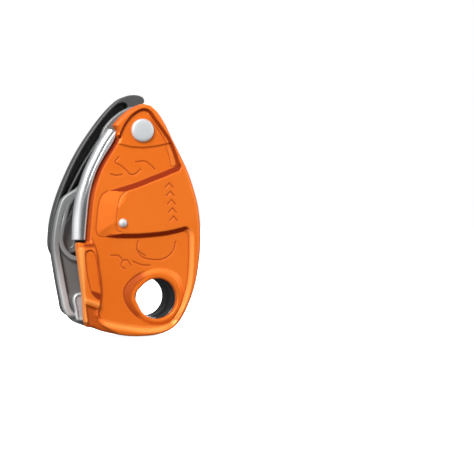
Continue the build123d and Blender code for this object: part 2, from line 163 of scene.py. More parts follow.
def from_field(name, F, origin, h, adapt=0.0):
    """The zero surface of a distance field on a regular grid, as a mesh in metres."""
    grid = vdb.FloatGrid(3.0)
    grid.copyFromArray(np.ascontiguousarray(np.clip(F, -3.0, 3.0) / h, dtype=np.float32))
    pts, tri, quad = grid.convertToPolygons(isovalue=0.0, adaptivity=adapt)
    pts = np.asarray(pts, float)
    tri = np.asarray(tri, np.int64).reshape(-1, 3)
    quad = np.asarray(quad, np.int64).reshape(-1, 4)
    v = pts * h + np.array(origin)
    a, b, c = (v[quad[:, i]] for i in range(3)) if len(quad) else (v[tri[:, i]] for i in range(3))
    vol = np.einsum("ij,ij->", a, np.cross(b, c))
    if vol < 0:
        tri, quad = tri[:, ::-1], quad[:, ::-1]
    flat = np.concatenate([quad.ravel(), tri.ravel()])
    totals = np.concatenate([np.full(len(quad), 4), np.full(len(tri), 3)])
    starts = np.concatenate([[0], np.cumsum(totals)[:-1]])
    return make_mesh(name, v / 1000.0, flat, starts, totals)


class Field:
    """A box of grid points: X and Z as a plane, Y as a stack of depths."""

    def __init__(self, x, y, z, h=None):
        self.h = h or H
        self.o = (x[0], y[0], z[0])
        self.xs = np.arange(x[0], x[1] + self.h, self.h)
        self.ys = np.arange(y[0], y[1] + self.h, self.h)
        self.zs = np.arange(z[0], z[1] + self.h, self.h)
        self.X, self.Z = np.meshgrid(self.xs, self.zs, indexing="ij")
        self.Y = self.ys[None, :, None]

    @staticmethod
    def up(a):
        """A plane field, ready to combine with the stack of depths."""
        return a[:, None, :]

    def slope(self, h):
        gx, gz = np.gradient(h, self.h)
        return np.sqrt(1 + gx * gx + gz * gz)

    def mesh(self, name, F, adapt=0.0):
        F = F.copy()
        return from_field(name, F, self.o, self.h, adapt)


def lathe(name, centre, profile, n=96, closed=False):
    """A solid of revolution about an axis along Y: profile is (radius, y) in mm, from one end of the axis to the other."""
    turn = [(math.cos(2 * math.pi * k / n), math.sin(2 * math.pi * k / n)) for k in range(n)]
    verts, rings = [], []
    for r, y in profile:
        if r < 1e-6:
            rings.append([len(verts)] * n)
            verts.append((centre[0] / 1000, y / 1000, centre[1] / 1000))
        else:
            rings.append(list(range(len(verts), len(verts) + n)))
            verts += [((centre[0] + r * c) / 1000, y / 1000, (centre[1] + r * s) / 1000) for c, s in turn]
    faces = []
    for a, b in zip(rings, rings[1:] + (rings[:1] if closed else [])):
        for k in range(n):
            l = (k + 1) % n
            face = [a[k], a[l], b[l], b[k]]
            face = [v for i, v in enumerate(face) if v not in face[:i]]
            if len(face) > 2:
                faces.append(face)
    me = bpy.data.meshes.new(name)
    me.from_pydata(verts, [], faces)
    me.validate()
    bm = bmesh.new()
    bm.from_mesh(me)
    bmesh.ops.recalc_face_normals(bm, faces=bm.faces)
    bm.to_mesh(me)
    bm.free()
    ob = bpy.data.objects.new(name, me)
    bpy.context.scene.collection.objects.link(ob)
    shade(ob, 40)
    return ob


def shade(ob, angle):
    me = ob.data
    me.polygons.foreach_set("use_smooth", np.ones(len(me.polygons), bool))
    me.set_sharp_from_angle(angle=math.radians(angle))


# ------------------------------------------------------------------ materials
def material(name):
    m = bpy.data.materials.new(name)
    m.use_nodes = True
    nt = m.node_tree
    nt.nodes.clear()
    out = nt.nodes.new("ShaderNodeOutputMaterial")
    b = nt.nodes.new("ShaderNodeBsdfPrincipled")
    nt.links.new(b.outputs[0], out.inputs[0])
    return m, nt, b


def anodised():
    m, nt, b = material("orange_anodised_aluminium")
    tc = nt.nodes.new("ShaderNodeTexCoord")
    mott = nt.nodes.new("ShaderNodeTexNoise")
    mott.inputs["Scale"].default_value = 60
    mott.inputs["Detail"].default_value = 3
    nt.links.new(tc.outputs["Object"], mott.inputs["Vector"])
    ramp = nt.nodes.new("ShaderNodeMix")
    ramp.data_type = "RGBA"
    ramp.inputs[6].default_value = (0.80, 0.150, 0.006, 1)
    ramp.inputs[7].default_value = (0.86, 0.175, 0.009, 1)
    nt.links.new(mott.outputs["Fac"], ramp.inputs[0])
    # painted shade: mesh mask for steep faces, creases, grooves and corners; the same mask also lowers the gloss there
    painted_shade = nt.nodes.new("ShaderNodeAttribute")
    painted_shade.attribute_name = "painted_shade"
    # painted highlight: mesh mask for ridges, fillets and the swell over the hole
    painted_highlight = nt.nodes.new("ShaderNodeAttribute")
    painted_highlight.attribute_name = "painted_highlight"
    # painted highlight: a light orange mixed in where the highlight mask is set
    light = nt.nodes.new("ShaderNodeMix")
    light.data_type = "RGBA"
    light.inputs[7].default_value = (1.0, 0.36, 0.075, 1)
    nt.links.new(painted_highlight.outputs["Fac"], light.inputs[0])
    nt.links.new(ramp.outputs[2], light.inputs[6])
    dull = nt.nodes.new("ShaderNodeMapRange")
    dull.inputs["To Min"].default_value = 0.35
    dull.inputs["To Max"].default_value = 0.08
    nt.links.new(painted_shade.outputs["Fac"], dull.inputs["Value"])
    nt.links.new(dull.outputs[0], b.inputs["Specular IOR Level"])
    flat = nt.nodes.new("ShaderNodeMapRange")
    flat.inputs["To Min"].default_value = 0.3
    flat.inputs["To Max"].default_value = 0.05
    nt.links.new(painted_shade.outputs["Fac"], flat.inputs["Value"])
    nt.links.new(flat.outputs[0], b.inputs["Metallic"])
    # painted shade: a dark red mixed into the orange where the shade mask is set
    deep = nt.nodes.new("ShaderNodeMix")
    deep.data_type = "RGBA"
    deep.inputs[7].default_value = (0.225, 0.021, 0.0015, 1)
    nt.links.new(painted_shade.outputs["Fac"], deep.inputs[0])
    nt.links.new(light.outputs[2], deep.inputs[6])
    # painted shadow: near black on the rebate under the end of the friction lip
    painted_gap_shadow = nt.nodes.new("ShaderNodeAttribute")
    painted_gap_shadow.attribute_name = "painted_gap_shadow"
    gap_shadow_colour = nt.nodes.new("ShaderNodeMix")
    gap_shadow_colour.data_type = "RGBA"
    gap_shadow_colour.inputs[7].default_value = (0.012, 0.006, 0.004, 1)
    nt.links.new(painted_gap_shadow.outputs["Fac"], gap_shadow_colour.inputs[0])
    nt.links.new(deep.outputs[2], gap_shadow_colour.inputs[6])
    nt.links.new(gap_shadow_colour.outputs[2], b.inputs["Base Color"])
    fine = nt.nodes.new("ShaderNodeTexNoise")
    fine.inputs["Scale"].default_value = 2600
    fine.inputs["Detail"].default_value = 2
    nt.links.new(tc.outputs["Object"], fine.inputs["Vector"])
    bump = nt.nodes.new("ShaderNodeBump")
    bump.inputs["Strength"].default_value = 0.12
    bump.inputs["Distance"].default_value = 0.00004
    nt.links.new(fine.outputs["Fac"], bump.inputs["Height"])
    nt.links.new(bump.outputs[0], b.inputs["Normal"])
    rr = nt.nodes.new("ShaderNodeMapRange")
    rr.inputs["To Min"].default_value = 0.34
    rr.inputs["To Max"].default_value = 0.44
    nt.links.new(mott.outputs["Fac"], rr.inputs["Value"])
    rough = nt.nodes.new("ShaderNodeMath")
    rough.operation = "MULTIPLY_ADD"
    rough.inputs[1].default_value = 0.25
    nt.links.new(painted_shade.outputs["Fac"], rough.inputs[0])
    nt.links.new(rr.outputs[0], rough.inputs[2])
    nt.links.new(rough.outputs[0], b.inputs["Roughness"])
    return m


def metal(name, colour, rough, spread=0.08, grain=1800.0, bump=0.05, stretch=(1, 1, 1), metallic=1.0, painted_shading=None):
    """Bare metal: its gloss varies over a few millimetres and a fine grain breaks up the reflections.
    Where the mesh marks painted light or shade, the colour goes to the one given for it."""
    m, nt, b = material(name)
    tc = nt.nodes.new("ShaderNodeTexCoord")
    mp = nt.nodes.new("ShaderNodeMapping")
    mp.inputs["Scale"].default_value = stretch
    nt.links.new(tc.outputs["Object"], mp.inputs["Vector"])
    big = nt.nodes.new("ShaderNodeTexNoise")
    big.inputs["Scale"].default_value = 140
    big.inputs["Detail"].default_value = 4
    nt.links.new(tc.outputs["Object"], big.inputs["Vector"])
    fine = nt.nodes.new("ShaderNodeTexNoise")
    fine.inputs["Scale"].default_value = grain
    fine.inputs["Detail"].default_value = 2
    nt.links.new(mp.outputs[0], fine.inputs["Vector"])
    mr = nt.nodes.new("ShaderNodeMapRange")
    mr.inputs["To Min"].default_value = max(rough - spread, 0.04)
    mr.inputs["To Max"].default_value = rough + spread
    nt.links.new(big.outputs["Fac"], mr.inputs["Value"])
    nt.links.new(mr.outputs[0], b.inputs["Roughness"])
    mix = nt.nodes.new("ShaderNodeMix")
    mix.data_type = "RGBA"
    mix.inputs[6].default_value = (*[c * 0.88 for c in colour], 1)
    mix.inputs[7].default_value = (*[min(c * 1.08, 1) for c in colour], 1)
    nt.links.new(big.outputs["Fac"], mix.inputs[0])
    last = mix.outputs[2]
    # painted light or shade: the colour given for it goes where the mesh's mask is set
    if painted_shading:
        mark = nt.nodes.new("ShaderNodeAttribute")
        mark.attribute_name = "painted_shading"
        painted_shading_mix = nt.nodes.new("ShaderNodeMix")
        painted_shading_mix.data_type = "RGBA"
        painted_shading_mix.inputs[7].default_value = (*painted_shading, 1)
        nt.links.new(mark.outputs["Fac"], painted_shading_mix.inputs[0])
        nt.links.new(last, painted_shading_mix.inputs[6])
        last = painted_shading_mix.outputs[2]
    nt.links.new(last, b.inputs["Base Color"])
    bp = nt.nodes.new("ShaderNodeBump")
    bp.inputs["Strength"].default_value = bump
    bp.inputs["Distance"].default_value = 0.00004
    nt.links.new(fine.outputs["Fac"], bp.inputs["Height"])
    nt.links.new(bp.outputs[0], b.inputs["Normal"])
    b.inputs["Metallic"].default_value = metallic
    return m


def moulded(name, colour, rough, grain=2200.0, bump=0.25, spread=0.06):
    """Moulded nylon with a fine spark-eroded grain and slight flow marks."""
    m, nt, b = material(name)
    tc = nt.nodes.new("ShaderNodeTexCoord")
    vor = nt.nodes.new("ShaderNodeTexVoronoi")
    vor.inputs["Scale"].default_value = grain
    nt.links.new(tc.outputs["Object"], vor.inputs["Vector"])
    big = nt.nodes.new("ShaderNodeTexNoise")
    big.inputs["Scale"].default_value = 90
    big.inputs["Detail"].default_value = 3
    nt.links.new(tc.outputs["Object"], big.inputs["Vector"])
    mix = nt.nodes.new("ShaderNodeMix")
    mix.data_type = "RGBA"
    mix.inputs[6].default_value = (*[c * 0.85 for c in colour], 1)
    mix.inputs[7].default_value = (*[c * 1.15 for c in colour], 1)
    nt.links.new(big.outputs["Fac"], mix.inputs[0])
    nt.links.new(mix.outputs[2], b.inputs["Base Color"])
    mr = nt.nodes.new("ShaderNodeMapRange")
    mr.inputs["To Min"].default_value = max(rough - spread, 0.03)
    mr.inputs["To Max"].default_value = rough + spread
    nt.links.new(big.outputs["Fac"], mr.inputs["Value"])
    nt.links.new(mr.outputs[0], b.inputs["Roughness"])
    bp = nt.nodes.new("ShaderNodeBump")
    bp.inputs["Strength"].default_value = bump
    bp.inputs["Distance"].default_value = 0.00003
    nt.links.new(vor.outputs["Distance"], bp.inputs["Height"])
    nt.links.new(bp.outputs[0], b.inputs["Normal"])
    return m


MAT = {
    "orange": anodised(),
    # dark painted shade on the friction lip's flat face and roll
    "polished": metal("polished_stainless", (0.84, 0.85, 0.86), 0.34, 0.01, 900.0, 0.0, metallic=0.75, painted_shading=(0.18, 0.185, 0.195)),
    "satin": metal("satin_stainless", (0.70, 0.705, 0.71), 0.42, 0.05, 1500.0, 0.1, metallic=0.55),
    "rivet": metal("satin_rivet_steel", (0.62, 0.64, 0.66), 0.42, 0.05, 1500.0, 0.1, metallic=0.4),
    "alu": metal("blasted_grey_aluminium", (0.27, 0.275, 0.275), 0.46, 0.05, 2600.0, 0.3, metallic=0.5),
    # light painted light on the crown of the fixed plate's rim
    "forged": metal("forged_plate_aluminium", (0.21, 0.215, 0.215), 0.46, 0.05, 2600.0, 0.3, metallic=0.5, painted_shading=(0.60, 0.60, 0.605)),
    "steel": metal("cast_cam_steel", (0.34, 0.343, 0.347), 0.42, 0.06, 1600.0, 0.2, metallic=0.6),
    "spring": metal("spring_wire", (0.45, 0.46, 0.47), 0.25, 0.05, 1200.0, 0.05),
    "bronze": metal("sintered_bronze", (0.55, 0.33, 0.13), 0.42, 0.06, 2400.0, 0.3),
    "black": moulded("glossy_black_nylon", (0.007, 0.008, 0.011), 0.2, 1600.0, 0.04),
    "nylon": moulded("dark_grey_nylon", (0.060, 0.061, 0.063), 0.44, 2300.0, 0.3),
}


def put(ob, mat, body, slot, *nodes):
    ob.data.materials.clear()
    ob.data.materials.append(MAT[mat])
    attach(ob, body)
    if nodes:
        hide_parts(*nodes)
    return ob


# ------------------------------------------------------------------ outlines (mm)
TOP_RIGHT = [(-19.4, 74.4), (-17.1, 77.3), (-14.4, 79.8), (-11.8, 81.7), (-8.7, 83.3), (-6.0, 84.0), (-3.3, 83.5), (-1.1, 82.0), (1.1, 79.3),
             (3.4, 75.7), (6.5, 69.5), (10.2, 62.4), (13.8, 55.1), (16.5, 47.5), (18.4, 40.5), (19.3, 34.0), (19.6, 27.4), (19.4, 20.9),
             (18.8, 14.8), (17.8, 8.7), (16.3, 3.0), (14.3, -2.2), (12.0, -6.9), (9.2, -10.8), (5.1, -13.8), (-0.3, -15.5), (-7.9, -16.0),
             (-14.5, -15.6), (-21.1, -14.3), (-26.0, -12.9), (-29.4, -11.2), (-32.0, -9.4)]
FLANGE_LEFT = [(-32.0, -9.4), (-32.6, 1.9), (-33.4, 8.3), (-34.4, 16.0), (-35.1, 21.2), (-35.3, 24.4)]
LIP_EDGE = [(-31.7, 24.4), (-31.1, 31.9), (-30.5, 38.3), (-29.9, 43.4), (-28.7, 48.9), (-26.5, 55.3), (-23.5, 60.9), (-20.5, 65.6), (-18.8, 68.7), (-17.9, 71.3), (-18.3, 73.0)]
ARCH = [(-16.6, 68.6), (-15.9, 70.6), (-14.6, 73.6), (-13.0, 76.1), (-11.0, 78.4), (-7.8, 80.5), (-5.7, 80.9), (-3.7, 79.8), (-1.9, 77.4), (0.5, 74.3), (2.6, 71.5), (4.6, 68.7), (5.9, 66.3), (7.3, 62.8), (8.3, 59.9), (8.6, 58.3), (8.0, 57.2)]
STRIP = [(-4.4, 79.4), (-2.4, 76.4), (0.2, 72.9), (2.2, 70.1), (3.6, 67.4), (4.4, 64.6), (5.4, 61.5), (5.9, 59.0), (6.1, 57.2)]
DIAG = [(8.0, 57.2), (5.9, 56.4), (1.4, 54.5), (-3.1, 52.8), (-7.5, 51.0), (-12.0, 49.4), (-16.4, 48.1), (-19.9, 47.0), (-22.0, 46.3)]
FACET = [(-22.0, 46.3), (-24.0, 45.1), (-25.4, 42.6), (-26.3, 38.3), (-26.8, 33.2), (-27.0, 29.6), (-26.2, 27.6), (-23.9, 26.8)]
FOOT = [(-23.9, 26.8), (-17.3, 26.1), (-9.8, 26.0), (-3.1, 26.4), (3.6, 27.1), (9.5, 28.3), (12.2, 29.0)]
RIGHT = [(12.2, 29.0), (13.5, 28.6), (14.2, 27.2), (14.3, 25.3), (14.3, 18.7), (14.0, 12.2), (13.3, 6.5), (12.2, 2.2), (10.6, -2.1), (8.6, -6.0), (6.9, -8.6)]
BASE = [(6.9, -8.6), (5.6, -10.2), (2.7, -11.5), (-0.9, -12.2), (-5.4, -12.3), (-12.1, -11.4), (-18.7, -10.2), (-23.1, -9.0), (-25.0, -7.9)]
LEFT = [(-25.0, -7.9), (-25.8, -5.8), (-25.0, -2.3), (-24.3, 2.0), (-24.5, 5.0), (-25.1, 10.6), (-25.8, 14.8), (-26.2, 19.1), (-27.2, 22.5), (-28.9, 26.2)]
SHEET_EDGE = [(-15.4, 69.8), (-12.9, 62.0), (-15.9, 52.0), (-11.2, 41.0), (-10.0, 33.0), (-13.4, 27.4), (-20.0, 25.1), (-31.6, 25.1)]
PIVOT, CAM, FOLD, SMALL, SELECTOR = (-6.7, 72.5), (-14.0, 35.0), (-34.5, 24.0), (-15.7, 32.7), (4.5, 25.5)
TOP, FLOOR = 11.3, 9.5


def strokes(lines, X, Z):
    d = np.full(X.shape, 1e9)
    for l in lines:
        d = np.minimum(d, line_distance(smooth_line(l, n=6) if len(l) != 3 or abs(l[0][1] - l[2][1]) > 1e-6 else np.array(l), X, Z))
    return d


# engraved signs: an open hand over a rope, a rope arc, and a hanging figure, all plain strokes
SIGNS = [
    [(-17.0, 60.8), (-18.6, 58.6), (-16.4, 57.4), (-13.6, 55.2), (-12.0, 53.6), (-9.8, 53.7), (-7.4, 55.6)],
    [(-9.6, 58.8), (-5.2, 59.2), (-2.4, 57.2), (-1.0, 55.8)],
    [(-20.6, 53.6), (-18.2, 53.0), (-15.6, 53.4)],
    [(-8.6, 25.0), (-9.0, 21.6), (-7.2, 18.4), (-3.2, 17.0), (3.0, 17.2), (7.0, 20.2), (8.4, 24.6)],
    [(-20.4, 18.8), (-17.0, 18.6), (-15.0, 16.6), (-13.4, 16.8), (-11.6, 14.4)],
    [(-15.0, 16.6), (-16.0, 14.4), (-14.2, 12.9)],
    [(-11.0, 16.2), (-6.6, 14.6), (-3.0, 14.4)],
    [(-9.2, 21.4), (-7.0, 19.6), (-5.2, 18.6)],
] + [[(x - 1.7, z - 1.0), (x, z + 0.9), (x + 1.7, z - 1.0)] for x, z in ((7.0, 34.6), (6.5, 38.2), (6.0, 41.8), (5.5, 45.4), (5.0, 49.0))]


COLLAR_IN = [(-4.4, 10.1), (-7.4, 8.0), (-10.0, 5.5), (-11.6, 2.7), (-11.8, -0.2), (-10.6, -3.0), (-8.9, -5.4), (-6.0, -8.0), (-2.0, -9.7), (2.0, -9.8), (6.0, -8.1),
             (9.0, -4.6), (10.2, 0.0), (9.8, 4.0), (7.4, 8.0), (3.4, 10.3), (-0.8, 10.9)]
COLLAR_OUT = [(-5.5, 11.9), (-9.2, 10.1), (-12.9, 7.0), (-14.7, 3.5), (-14.4, -0.1), (-12.6, -3.7), (-9.6, -7.0), (-6.7, -9.2), (-2.6, -10.9), (2.2, -11.2), (7.2, -9.4),
              (10.6, -5.2), (11.9, 0.2), (11.8, 5.0), (10.6, 9.5), (8.0, 12.0), (4.5, 13.2), (0.0, 13.5)]


def plate_height(X, Z):
    """Height of the outer face of the swinging side plate over the middle of the rope channel, and its masks of painted
    shade and painted highlight.
    """
    arch, diag, facet, foot = (smooth_line(l) for l in (ARCH, DIAG, FACET, FOOT))
    rwall, base, left = (smooth_line(l) for l in (RIGHT, BASE, LEFT))
    loop = np.vstack([arch, diag[1:], facet[1:], foot[1:], rwall[1:], base[1:], left[1:], [(-44, 26.4), (-44, 60), (-26, 72.6), (-17.6, 70.2)]])
    out = area_distance(loop, X, Z)
    rise = np.ones(X.shape)
    painted_shade = np.zeros(X.shape)
    # painted shade on the steep face of each step, weighted by w
    for line, width, lin, w in ((arch, 1.25, 0.3, 0.9), (diag, 2.8, 0.8, 1.0), (facet, 8.4, 1.0, 0.0), (foot, 2.5, 0.6, 1.0), (rwall, 2.0, 0.2, 0.0), (base, 2.5, 0.15, 0.0), (left, 1.2, 0.2, 0.45)):
        d = line_distance(line, X, Z)
        t = np.clip(d / width, 0, 1)
        r = lin * t + (1 - lin) * ease(t)
        painted_shade = np.where(r < rise, w * ease((1 - t) * 4) * ease(t * 8 + 0.3), painted_shade)
        rise = smin(rise, r, 0.03)
    rise = np.clip(np.where(out > 0, rise, 0), 0, 1)
    painted_shade = np.where(out > 0, painted_shade, 0)
    floor = np.full(X.shape, FLOOR)
    # land round the main rivet
    step = np.interp(X, [-18, -16.8, -12, -6.6, -0.8, 5, 7], [66.5, 66.1, 65.0, 64.7, 65.4, 66.7, 67.2])
    floor += 0.55 * ease((Z - step) / 0.8)
    land = np.exp(-((Z - step - 0.25) / 0.5) ** 2) * ease((6.6 - X) / 1.5) * ease((X + 16.8) / 1.5)
    h = floor + (TOP - floor) * rise
    # painted shade in a thin line along the foot of the land
    painted_shade = np.maximum(painted_shade, 0.4 * land * (out < 0.2))
    # a ledge inside the right leg of the arch, with painted shade along its inner line and a painted highlight on it
    strip_line = smooth_line(STRIP)
    leg = arch[arch[:, 0] > -4.5]
    leg = leg[leg[:, 1] > 57.0]
    strip = area_distance(np.vstack([strip_line, leg[::-1]]), X, Z)
    ledge = line_distance(strip_line, X, Z)
    h = h + 0.32 * ease((0.1 - strip) / 0.45) * (out <= 0) - 0.2 * np.exp(-(ledge / 0.3) ** 2) * ease((78.5 - Z) / 2)
    painted_shade = np.maximum(painted_shade, 0.62 * np.exp(-(ledge / 0.3) ** 2) * ease((78.5 - Z) / 2))
    ledge_highlight = 0.3 * np.exp(-((strip + 0.75) / 0.5) ** 2) * ease((67 - Z) / 3) * (out <= 0)
    # creases where a wall meets the floor, and round the sloping facet, with painted shade in them and along the foot
    # of the facet
    brow = smooth_line([(-12.6, 47.0), (-15.0, 45.5), (-16.7, 43.4), (-17.6, 40.4), (-18.3, 36.1), (-18.5, 31.9), (-17.8, 29.4), (-16.0, 28.7)])
    for line, deep, red, size in ((facet, 0.2, 0.75, 0.34), (brow, 0.16, 0.6, 0.3), (arch, 0.12, 0.8, 0.3), (rwall, 0.14, 0.6, 0.32), (left, 0.16, 0.6, 0.34)):
        d = line_distance(line, X, Z)
        g = np.exp(-(d / size) ** 2)
        h = h - deep * g
        painted_shade = np.maximum(painted_shade, red * g)
    d = line_distance(foot, X, Z)
    painted_shade = np.maximum(painted_shade, 0.85 * ease((2.3 - d) / 1.2) * ease((X + 24.5) / 5.0) * ease((-13.0 - X) / 4.0) * (out > 0))
    # collar round the attachment hole: a flat ring with a wall on its left, and a soft swell above; painted shade on
    # the left crescent and its outlines, and a painted highlight on the swell
    hole = egg(X, Z)
    deg = np.degrees(np.arctan2(Z, X + 0.6))
    cres = ease((70 - np.abs((deg - 172 + 180) % 360 - 180)) / 26)
    swell = ease((80 - np.abs((deg - 72 + 180) % 360 - 180)) / 40)
    brim = area_distance(smooth_line(COLLAR_IN, closed=True, n=6), X, Z)
    foot_line = area_distance(smooth_line(COLLAR_OUT, closed=True, n=6), X, Z)
    t = np.where(brim <= 0, 0.0, np.where(foot_line >= 0, 1.0, brim / np.maximum(brim - foot_line, 1e-6)))
    h = smax(h, FLOOR + (0.9 + 0.4 * swell - 0.1 * cres) * (1 - ease(t)), 0.3)
    h = h - 0.2 * cres * np.exp(-(foot_line / 0.4) ** 2) - 0.12 * cres * np.exp(-(brim / 0.35) ** 2)
    painted_shade = np.maximum(painted_shade, 0.72 * cres * ease(t / 0.22) * ease((1.05 - t) / 0.25))
    painted_shade = np.maximum(painted_shade, 0.95 * cres * np.exp(-(foot_line / 0.4) ** 2))
    painted_shade = np.maximum(painted_shade, 0.7 * cres * np.exp(-(brim / 0.28) ** 2))
    painted_shade = np.maximum(painted_shade, 0.45 * np.exp(-(foot_line / 0.35) ** 2) * ease((60 - np.abs((deg + 78 + 180) % 360 - 180)) / 20))
    painted_shade = np.maximum(painted_shade, 0.3 * np.exp(-((hole - 0.75) / 0.3) ** 2) * (1 - cres))
    painted_highlight = np.maximum(ledge_highlight, 0.2 * swell * np.exp(-((t - 0.6) / 0.35) ** 2))
    # edge that slopes down to the friction lip, with painted shade on the slope
    d = line_distance(smooth_line(LIP_EDGE), X, Z)
    keep = ease((70.5 - Z) / 2.0) * ease((Z - 24.0) / 1.0)
    edge = 8.05 + 0.72 * d
    h = np.where(keep > 0, (1 - keep) * h + keep * smin(h, edge, 0.35), h)
    painted_shade = np.maximum(painted_shade, keep * ease((2.5 - d) / 0.9) * (0.8 + 0.2 * ease((Z - 44) / 10)))
    # finger panel on the flange, with a lip band under it; painted shade round the panel, in the notch below it and in
    # a line under the lip
    panel = area_distance(smooth_line([(-31.9, 20.3), (-30.0, 21.2), (-28.2, 20.3), (-27.1, 16.0), (-26.4, 10.0), (-25.5, 5.0), (-25.1, 1.8), (-25.6, 0.0), (-27.4, 0.9),
                                       (-29.1, 2.8), (-30.1, 6.0), (-30.9, 9.4), (-31.5, 13.0), (-31.9, 17.0)], closed=True, n=5), X, Z)
    h = h - 0.8 * ease((0.3 - panel) / 0.7)
    painted_shade = np.maximum(painted_shade, 0.7 * np.exp(-((panel - 0.0) / 0.34) ** 2))
    painted_shade = np.maximum(painted_shade, 0.95 * ease((0.4 - panel) / 0.5) * ease((3.6 - Z - 0.3 * (X + 26.0)) / 1.0))
    painted_shade = np.maximum(painted_shade, 0.9 * np.exp(-(line_distance(np.array([(-32.0, 23.3), (-28.6, 23.2)]), X, Z) / 1.0) ** 2))
    # raised ridge along the flange, with a painted highlight along it
    ridge = smooth_line([(-31.3, -10.0), (-31.7, -6.0), (-32.2, -1.6), (-32.9, 3.5), (-33.1, 8.0), (-33.2, 14.0), (-33.3, 19.0), (-33.4, 22.0)])
    across = X - np.interp(Z, ridge[:, 1], ridge[:, 0])
    ridge_highlight = np.exp(-(across / np.where(across < 0, 2.4, 0.8)) ** 2) * ease((Z + 10.5) / 1.5) * ease((23.0 - Z) / 1.5)
    h = h + 0.4 * np.exp(-(across / 0.9) ** 2) * ease((Z + 10.5) / 1.5) * ease((23.0 - Z) / 1.5)
    painted_highlight = np.maximum(painted_highlight, 0.95 * ridge_highlight)
    # raised band across the flange foot, with a painted highlight along it
    band = line_distance(smooth_line([(-32.3, -0.1), (-29.1, -1.0), (-25.7, -2.3)]), X, Z)
    h = h + 0.3 * np.exp(-(band / 0.9) ** 2)
    painted_highlight = np.maximum(painted_highlight, 0.75 * np.exp(-(band / 0.9) ** 2))
    # the foot corner is scooped out below the band, with painted shade in it and no painted highlight
    corner = area_distance(np.array([(-32.3, -1.4), (-29.1, -2.5), (-25.9, -3.8), (-26.6, -4.8), (-27.0, -6.4), (-26.2, -8.4), (-24.2, -10.6), (-21.0, -12.6), (-18.0, -14.2), (-14.0, -17.5), (-34, -17.5), (-31.2, -9.6), (-31.8, -6.0)]), X, Z)
    h = h - 1.2 * ease((0.3 - corner) / 1.6)
    red = ease((0.2 - corner) / 0.6)
    painted_shade = np.where(red > 0, np.maximum(painted_shade, red * (0.62 - 0.3 * ease((X + 27.0) / 12.0))), painted_shade)
    painted_highlight = painted_highlight * (1 - red)
    # painted highlights on the fillets of the lower pocket, none where painted shade lies and none above z 55 but on
    # the ledge
    painted_highlight = np.maximum(painted_highlight, 0.7 * np.exp(-((line_distance(rwall, X, Z) - 1.1) / 0.75) ** 2) * (out > 0))
    painted_highlight = np.maximum(painted_highlight, 0.8 * np.exp(-((line_distance(base, X, Z) - 1.1) / 1.0) ** 2) * (out > -0.6) * ease((X + 25.5) / 3.0) * ease((7.0 - X) / 6.0))
    painted_highlight = painted_highlight * (1 - np.clip(painted_shade, 0, 1))
    painted_highlight = np.where(Z > 55, np.minimum(painted_highlight, ledge_highlight), painted_highlight)
    # engraved strokes, with painted shade in the grooves
    groove = strokes(SIGNS, X, Z)
    h = h - 0.24 * np.exp(-(groove / 0.3) ** 2)
    painted_shade = np.maximum(painted_shade, 0.75 * np.exp(-(groove / 0.34) ** 2))
    return h, painted_shade, painted_highlight


def egg(X, Z):
    """Outline of the attachment hole in the swinging plate: a round hole with a relief on the left."""
    ang = np.linspace(0, 2 * np.pi, 72, endpoint=False)
    pts = np.vstack([np.stack([8.75 * np.cos(ang), 8.75 * np.sin(ang)], -1), np.stack([-6.4 + 3.45 * np.cos(ang), 1.1 + 3.45 * np.sin(ang)], -1)])
    c = pts.mean(0)
    # convex hull by gift wrapping
    i0 = int(np.argmin(pts[:, 0]))
    hull, i = [], i0
    while True:
        hull.append(i)
        j = 0 if i != 0 else 1
        for k in range(len(pts)):
            cr = (pts[j][0] - pts[i][0]) * (pts[k][1] - pts[i][1]) - (pts[j][1] - pts[i][1]) * (pts[k][0] - pts[i][0])
            if k != i and cr < 0:
                j = k
        i = j
        if i == i0 or len(hull) > 300:
            break
    return area_distance(pts[hull], X, Z)


def attribute(ob, name, values):
    a = ob.data.attributes.new(name, "FLOAT", "POINT")
    a.data.foreach_set("value", np.ascontiguousarray(values, np.float32))


def sample(field, plane, ob):
    """Values of a plane field at a mesh's vertices."""
    n = len(ob.data.vertices)
    co = np.empty(n * 3, np.float32)
    ob.data.vertices.foreach_get("co", co)
    co = co.reshape(-1, 3) * 1000
    fx = np.clip((co[:, 0] - field.o[0]) / field.h, 0, plane.shape[0] - 1.001)
    fz = np.clip((co[:, 2] - field.o[2]) / field.h, 0, plane.shape[1] - 1.001)
    i, k = fx.astype(int), fz.astype(int)
    u, w = fx - i, fz - k
    return (plane[i, k] * (1 - u) * (1 - w) + plane[i + 1, k] * u * (1 - w) + plane[i, k + 1] * (1 - u) * w + plane[i + 1, k + 1] * u * w), co


